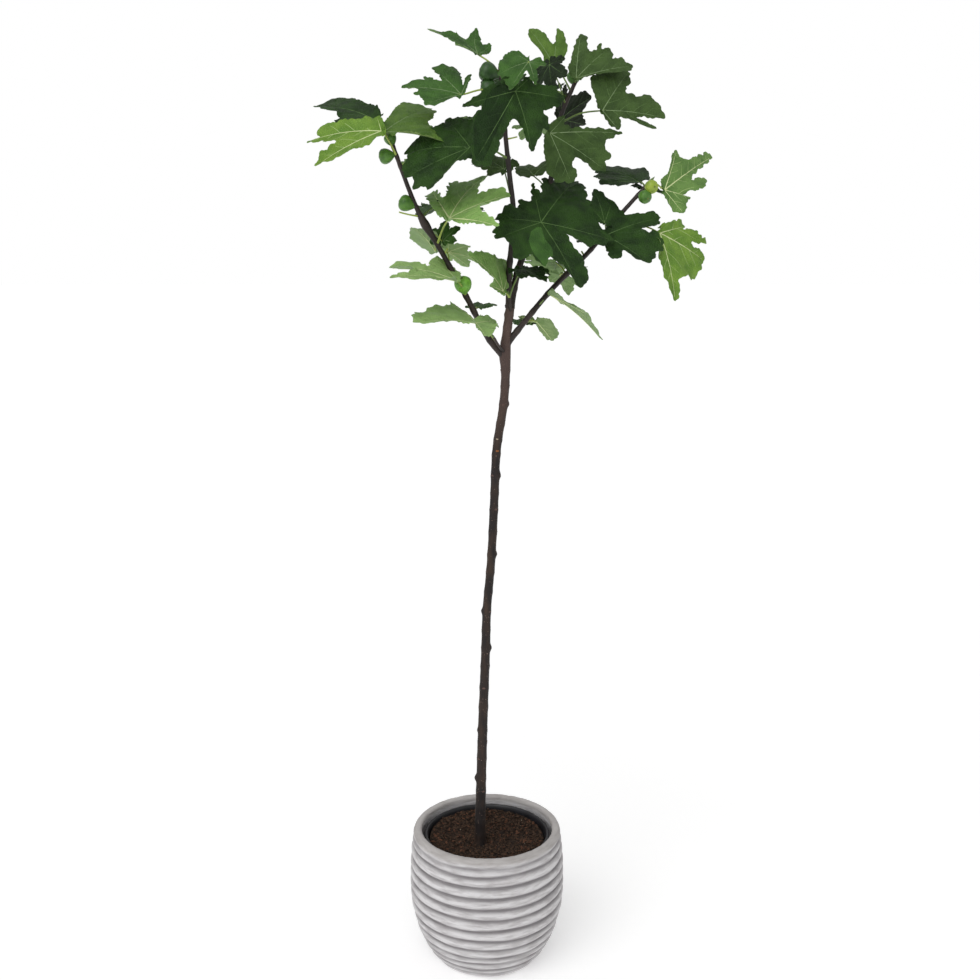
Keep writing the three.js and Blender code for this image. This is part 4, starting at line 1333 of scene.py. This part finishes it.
def rows_of(name):
    """All leaves of a shoot as (row, tint, seed, knots, patch), where a patch is (tint, outline)."""
    names = list(LEAVES)
    seed = 1 + sum(len(LEAVES[other]) for other in names[:names.index(name)])
    listed = []
    for index, (row, tint, *shape) in enumerate(LEAVES[name]):
        edge, second, outline = (*shape, None, None, None)[:3]
        patch = outline and (second, knots_of(outline))
        listed.append((row, tint, seed + index, edge and knots_of(edge), patch))
    return listed + filling_rows(name)


ROWS = {name: rows_of(name) for name in LEAVES}
print({name: len(rows) for name, rows in ROWS.items()}, "leaves")

# %% [markdown]
# ## Leaf finishes
#
# The upper face of a fig leaf is a satin green that is roughened by tiny hairs, and the underside is
# paler and matt. Each tint is a pair of materials. The tints are plain colours with a faint mottle,
# and the net of the smallest veins is a relief. A pale leaf has pale veins and a pale stalk.

# %% Tints
# pale is painted light for lower leaves that the sun meets at a slant, and soft is painted light for a leaf
# in shade. shade and deep are painted shade for leaves and lobes in the crown's shadow, and the dark tint's
# underside is darkened too, partly painted shade.
TINTS = {
    "pale": ("#9fc077", "#8aab66", "#8aa373", "light", "green"),
    "bright": ("#789a3c", "#5f8431", "#8fa767", "light", "green"),
    "light": ("#6f924c", "#5a7d3e", "#859d68", "light", "green"),
    "soft": ("#8db463", "#769c50", "#9bb87c", "light", "green"),
    "leafy": ("#5f7e34", "#4b6a2a", "#869f5c", "mid", "dark"),
    "mid": ("#446a2c", "#335422", "#7f9c62", "mid", "green"),
    "olive": ("#465f2d", "#354b21", "#6d8454", "mid", "dark"),
    "dark": ("#2a4815", "#19310d", "#465d3c", "dark", "dark"),
    "shade": ("#1f2f18", "#172411", "#212b1a", "dark", "dark"),
    "deep": ("#1b370c", "#122807", "#33462c", "dark", "dark"),
}
LEAF_FINISHES = []
for tint, (colour, second, under, *_) in TINTS.items():
    LEAF_FINISHES.append(finish(
        f"leaf_{tint}", (colour, second), 0.5,
        ((1, 1, 1), 38, 0.38, 0.66), (CELLS, {"Scale": 260, "Ridge": 0.2}, 0.0006), 0.2,
    ))
    LEAF_FINISHES.append(finish(
        f"leaf_{tint}_under", (under, second), 0.75,
        ((1, 1, 1), 60, 0.5, 1.0), (CELLS, {"Scale": 260, "Ridge": 0.2}, 0.0005), 0.2,
    ))
print(len(LEAF_FINISHES), "leaf materials")

# %% Veins, stalks, figs and buds
VEINS = {
    "main_light": ("#d3dca6", "#bfcd91"), "side_light": ("#a3ba78", "#90aa66"),
    "main_mid": ("#8ea377", "#7c9466"), "side_mid": ("#64804a", "#56733f"),
    "main_dark": ("#5f7c46", "#506d3a"), "side_dark": ("#38522a", "#2d4522"),
}
STALKS = {"green": ("leaf_stalk", "#a3b356", "#8aa04a"), "dark": ("leaf_stalk_dark", "#6d8443", "#5a6f3a")}
# The bright skin is painted light: a brighter green for the fig that lies in a leaf's shadow.
FIG_SKINS = {
    "green": ("#56842f", "#3a6322"), "pale": ("#9aae3c", "#7a9530"), "dark": ("#345625", "#23401a"),
    "bright": ("#80ba48", "#5f9236"),
}
VEIN_FINISHES = [
    even_finish(f"vein_{name}", colours, 0.6, (90, 0.4, 0.7), (600, 0.0003))
    for name, colours in VEINS.items()
]
STALK_FINISHES = [
    even_finish(name, colours, 0.5, (50, 0.4, 0.7), (600, 0.0004), 0.4)
    for name, *colours in STALKS.values()
]
FIG_FINISHES = [
    even_finish(f"fig_skin_{name}", colours, 0.42, (90, 0.4, 0.68), (500, 0.0005), 0.45)
    for name, colours in FIG_SKINS.items()
]
FIG_FINISHES.append(even_finish("fig_eye", ("#6d7f3c", "#565f33"), 0.7, (200, 0.4, 0.7), (900, 0.0004)))
bud_scale = even_finish("bud_scale", ("#5f7a3a", "#4c5a30"), 0.45, (120, 0.4, 0.7), (600, 0.0003), 0.4)
print(len(VEIN_FINISHES), "vein materials and", len(FIG_FINISHES), "for the figs")

# %% [markdown]
# ## Growing the shoots
#
# Now the rows become leaves. A leaf's stalk leaves the stem, arches a little under the blade's
# weight, and runs on into the blade, where the main veins start. All blades of a shoot are one mesh,
# and so are its veins, its stalks and its figs, because hundreds of loose objects are hard to handle.

# %% One leaf into the heaps
LEAF_THICK = 0.45
STALK_ARCH, STALK_INTO_BLADE = 0.08, 6
STALK_TAPER = ([0, 0.08, 0.3, 0.85, 1], [2.9, 2.1, 1.6, 1.4, 0.5])
MAIN_VEIN, SIDE_VEIN = (0.95, 0.3, 6), (0.5, 0.3, 4)
THINNEST_VEIN, VEIN_STOUT = 0.26, 1.6
USUAL_LENGTH = 125


def grow_leaf(limb, heaps, row, tint, seed, knots, patch):
    share, bearing, rise, stalk, heading, pitch, roll, length = row
    root = limb["line"].at(share)
    junction = root + direction(bearing, rise) * stalk
    along, left, out = blade_axes(heading, pitch, roll)

    def place(flat, heights):
        points = junction + length * (np.outer(flat[:, 0], along) + np.outer(flat[:, 1], left))
        return (points + np.outer(heights, out)) * MM

    second, outline = patch or (tint, ())
    blade = Blade(knots, seed, length, outline)
    heights = blade.rise(blade.flat) * length
    top, under = blade.faces()
    skin = [place(blade.flat, heights + side * LEAF_THICK / 2) for side in (1, -1)]
    on_patch = within(blade.flat[np.array(top)].mean(1), blade.patch) if patch else [False] * len(top)
    # A patch takes its own tint: painted shade on one leaf, painted light on another.
    upper, painted_patch = 2 * list(TINTS).index(tint), 2 * list(TINTS).index(second)
    tints = [painted_patch if there else upper for there in on_patch] + [upper + 1] * len(under)
    heaps["leaves"].add(np.concatenate(skin), top + under, tints)

    *_, vein_tone, stalk_tone = TINTS[tint]
    stout = VEIN_STOUT if vein_tone == "light" else 1
    for main, flat in blade.veins:
        start, end, sides = MAIN_VEIN if main else SIDE_VEIN
        reach = 0.4 + 0.6 * min(1, np.hypot(*flat[-1])) if main else 1
        radii = np.linspace(start, end, len(flat)) * reach * stout * (length / USUAL_LENGTH) ** 0.5 * MM
        shape = tube(place(flat, blade.rise(flat) * length), np.maximum(radii, THINNEST_VEIN * MM), sides)
        heaps["veins"].add(*shape, list(VEINS).index(f"{'main' if main else 'side'}_{vein_tone}"))

    middle = (root + junction) / 2 + np.array([0, 0, STALK_ARCH * stalk])
    path = Line([root, middle, junction, junction + STALK_INTO_BLADE * along])
    shares = np.linspace(0, 1, 16)
    radii = np.interp(shares, *STALK_TAPER) * min(1, 0.6 + length / 250) * MM
    shape = tube([path.at(at) * MM for at in shares], radii, 8)
    heaps["stalks"].add(*shape, list(STALKS).index(stalk_tone))


# %% One fig into its heap
FIG_PROFILE = [
    (0.16, 0.01), (0.17, 0.06), (0.2, 0.12), (0.33, 0.2), (0.52, 0.28), (0.72, 0.38), (0.88, 0.49),
    (0.97, 0.6), (1.0, 0.7), (0.96, 0.8), (0.82, 0.89), (0.6, 0.955), (0.36, 0.985), (0.16, 0.995),
    (0.12, 1.01),
]
FIG_WIDTH_SHARE, FIG_SINK = 0.82, 2.5
FIG_SIDES, FIG_RIBS, FIG_RIB_DEPTH = 24, 8, 0.018


def grow_fig(limb, row, heap):
    share, bearing, rise, length, skin = row
    axis = direction(bearing, rise)
    root = limb["line"].at(share) - FIG_SINK * axis
    side = np.cross(axis, (0, 0, 1))
    side /= np.linalg.norm(side)
    second = np.cross(axis, side)
    angles = 2 * math.pi * np.arange(FIG_SIDES) / FIG_SIDES
    ribs = 1 + FIG_RIB_DEPTH * np.cos(angles * FIG_RIBS)
    points = []
    for across, along in FIG_PROFILE:
        ring = across * FIG_WIDTH_SHARE * length / 2 * ribs
        turned = np.outer(ring * np.cos(angles), side), np.outer(ring * np.sin(angles), second)
        points.append(root + along * length * axis + turned[0] + turned[1])
    skin, eye = list(FIG_SKINS).index(skin), len(FIG_SKINS)
    finishes = [skin] * FIG_SIDES * (len(points) - 2) + [eye] * FIG_SIDES + [skin, eye]
    heap.add(np.concatenate(points) * MM, ring_faces(len(points), FIG_SIDES), finishes)


# %% Buds and cut stubs
# A stub: the share of the limb, its bearing and rise, its length, its radius, and which stalk finish.
STUBS = {
    "left": [(0.68, 185, 5, 38, 1.3, 0), (0.5, 20, 50, 14, 1.8, 0)],
    "right": [(0.235, -35, 35, 18, 1.3, 1), (0.55, 130, 40, 12, 1.5, 0)],
    "front": [(0.72, 0, 5, 20, 1.2, 0), (0.77, -20, 40, 12, 1.4, 0), (0.3, 200, 40, 12, 1.6, 0)],
    "back": [(0.3, 60, 40, 14, 1.6, 0)],
}
STUB_DROP = 6
BUD_LENGTH, BUD_SINK = 14, 1


def grow_stub(limb, row, heap):
    """An old stalk that was cut back: short, blunt and slightly thicker at the foot."""
    share, bearing, rise, length, radius, kind = row
    root = limb["line"].at(share)
    steps = np.linspace(0, 1, 6)
    centres = [(root + direction(bearing, rise + STUB_DROP * step) * length * step) * MM for step in steps]
    radii = np.interp(steps, [0, 0.3, 1], [radius * 1.9, radius * 1.1, radius]) * MM
    heap.add(*tube(centres, radii, 8), kind)


def grow_bud(limb, heap):
    """The pointed bud at a shoot's end."""
    end, along = limb["line"].at(1), limb["line"].along(1)
    steps = np.linspace(0, 1, 9)
    radii = limb["tip"] * np.interp(steps, [0, 0.25, 0.6, 1], [1.0, 1.0, 0.62, 0.08])
    heap.add(*tube([(end + along * (BUD_LENGTH * step - BUD_SINK)) * MM for step in steps], radii * MM, 12))


print(sum(map(len, STUBS.values())), "cut stubs are listed, and every shoot gets a bud")


# %% All shoots
for name, limb in LIMBS.items():
    limb["joints"] += [row[0] for row, *_ in ROWS[name]]
    heaps = {kind: Heap() for kind in ("leaves", "veins", "stalks", "bud", "figs")}
    for leaf in ROWS[name]:
        grow_leaf(limb, heaps, *leaf)
    for row in FIGS.get(name, []):
        grow_fig(limb, row, heaps["figs"])
    for row in STUBS.get(name, []):
        grow_stub(limb, row, heaps["stalks"])
    grow_bud(limb, heaps["bud"])
    finishes = (LEAF_FINISHES, VEIN_FINISHES, STALK_FINISHES, [bud_scale], FIG_FINISHES)
    for (kind, heap), materials in zip(heaps.items(), finishes):
        if heap.count:
            heap.build(f"{kind}_{name}", materials, "foliage", f"foliage_{name}")

    def radius_at(share):
        return limb_radius(limb, share)

    if limb["bare"]:
        bough = bevelled_limb(f"bough_{name}_bark", limb["line"], 0, limb["bare"], 2.2, radius_at)
        roughen(bough, 0.16)
        dress(bough, [young_bark], "bark", f"bough_{name}")
    stem = bevelled_limb(f"stem_{name}", limb["line"], limb["bare"], 1, 2.4, radius_at)
    roughen(stem, 0.12)
    dress(stem, [young_bark], "foliage", f"foliage_{name}")

# %% [markdown]
# ## Breathing pores and leaf scars
#
# Close up, fig bark is dotted with small pale pores, and each old leaf left a scar on its ring. A
# texture would do from afar. Here they are tiny raised bits in two joined meshes, so they keep their
# size and place however the tree is looked at.


# %% Pores
def bark_mark(height, side, sink, size):
    """A low oval bump on the bark: size is (across, up, out)."""
    outward = direction(side, 0)
    place = on_trunk(height, side) - sink * outward
    up = np.array([0, 0, 1.0])
    across = np.cross(up, outward)
    points = [
        place + across * size[0] * math.cos(angle) + up * size[1] * math.sin(angle)
        for angle in np.linspace(0, 2 * math.pi, 8, endpoint=False)
    ]
    points += [place + outward * size[2], place - outward * 1.2]
    return np.array(points) * MM, faces_to_points(8)


PORES, LOWEST_PORE, HIGHEST_PORE = 420, 250, 1275
pores = Heap()
for _ in range(PORES):
    height, side = rng.uniform(LOWEST_PORE, HIGHEST_PORE), rng.uniform(0, 360)
    pores.add(*bark_mark(height, side, 0.1, (rng.uniform(0.5, 1.1), rng.uniform(0.3, 0.55), 0.45)))
bark_pore = even_finish("bark_pore", ("#8d776c", "#75625a"), 0.8, (300, 0.4, 0.7), (900, 0.0003))
pores.build("bark_pores", [bark_pore], "bark", "trunk")

# %% Scars
SCAR_SIDES = [175, 20, -60, 110, 230, -20, 150, 60, 265, 5, 190, 85, -45, 130, 215]
SCAR_SIZE = (3.2, 2.2, 0.7)
CUTS = [(1036, -95, 0.3, (3.4, 3.0, 1.5)), (1014, -80, 0.3, (3.0, 2.4, 1.2))]

scars = Heap()
for index, height in enumerate(RING_HEIGHTS[1:-1]):
    scars.add(*bark_mark(height, SCAR_SIDES[index % len(SCAR_SIDES)], 0.2, SCAR_SIZE))
for kind, cut in enumerate(CUTS, 1):
    scars.add(*bark_mark(*cut), kind)
SCARS = [
    even_finish("leaf_scar", ("#5d4943", "#4c3b36"), 0.8, (160, 0.4, 0.7), (700, 0.0004)),
    even_finish("pruning_scar", ("#a89a84", "#8b7c68"), 0.85, (200, 0.4, 0.7), (700, 0.0004)),
    even_finish("fresh_scar", ("#9a6236", "#7c4c2a"), 0.85, (200, 0.4, 0.7), (700, 0.0004)),
]
scars.build("bark_scars", SCARS, "bark", "trunk")

# %% [markdown]
# ## The size of the dressed tree
#
# Dressing must not change the size, so the box of the plain model and the box of the dressed one
# are printed side by side.

# %% Sizes
boxes = {"cad": CAD_BOX, "visual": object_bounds()}
plain = {name: [[float(value) for value in corner] for corner in box] for name, box in boxes.items()}
print(plain)
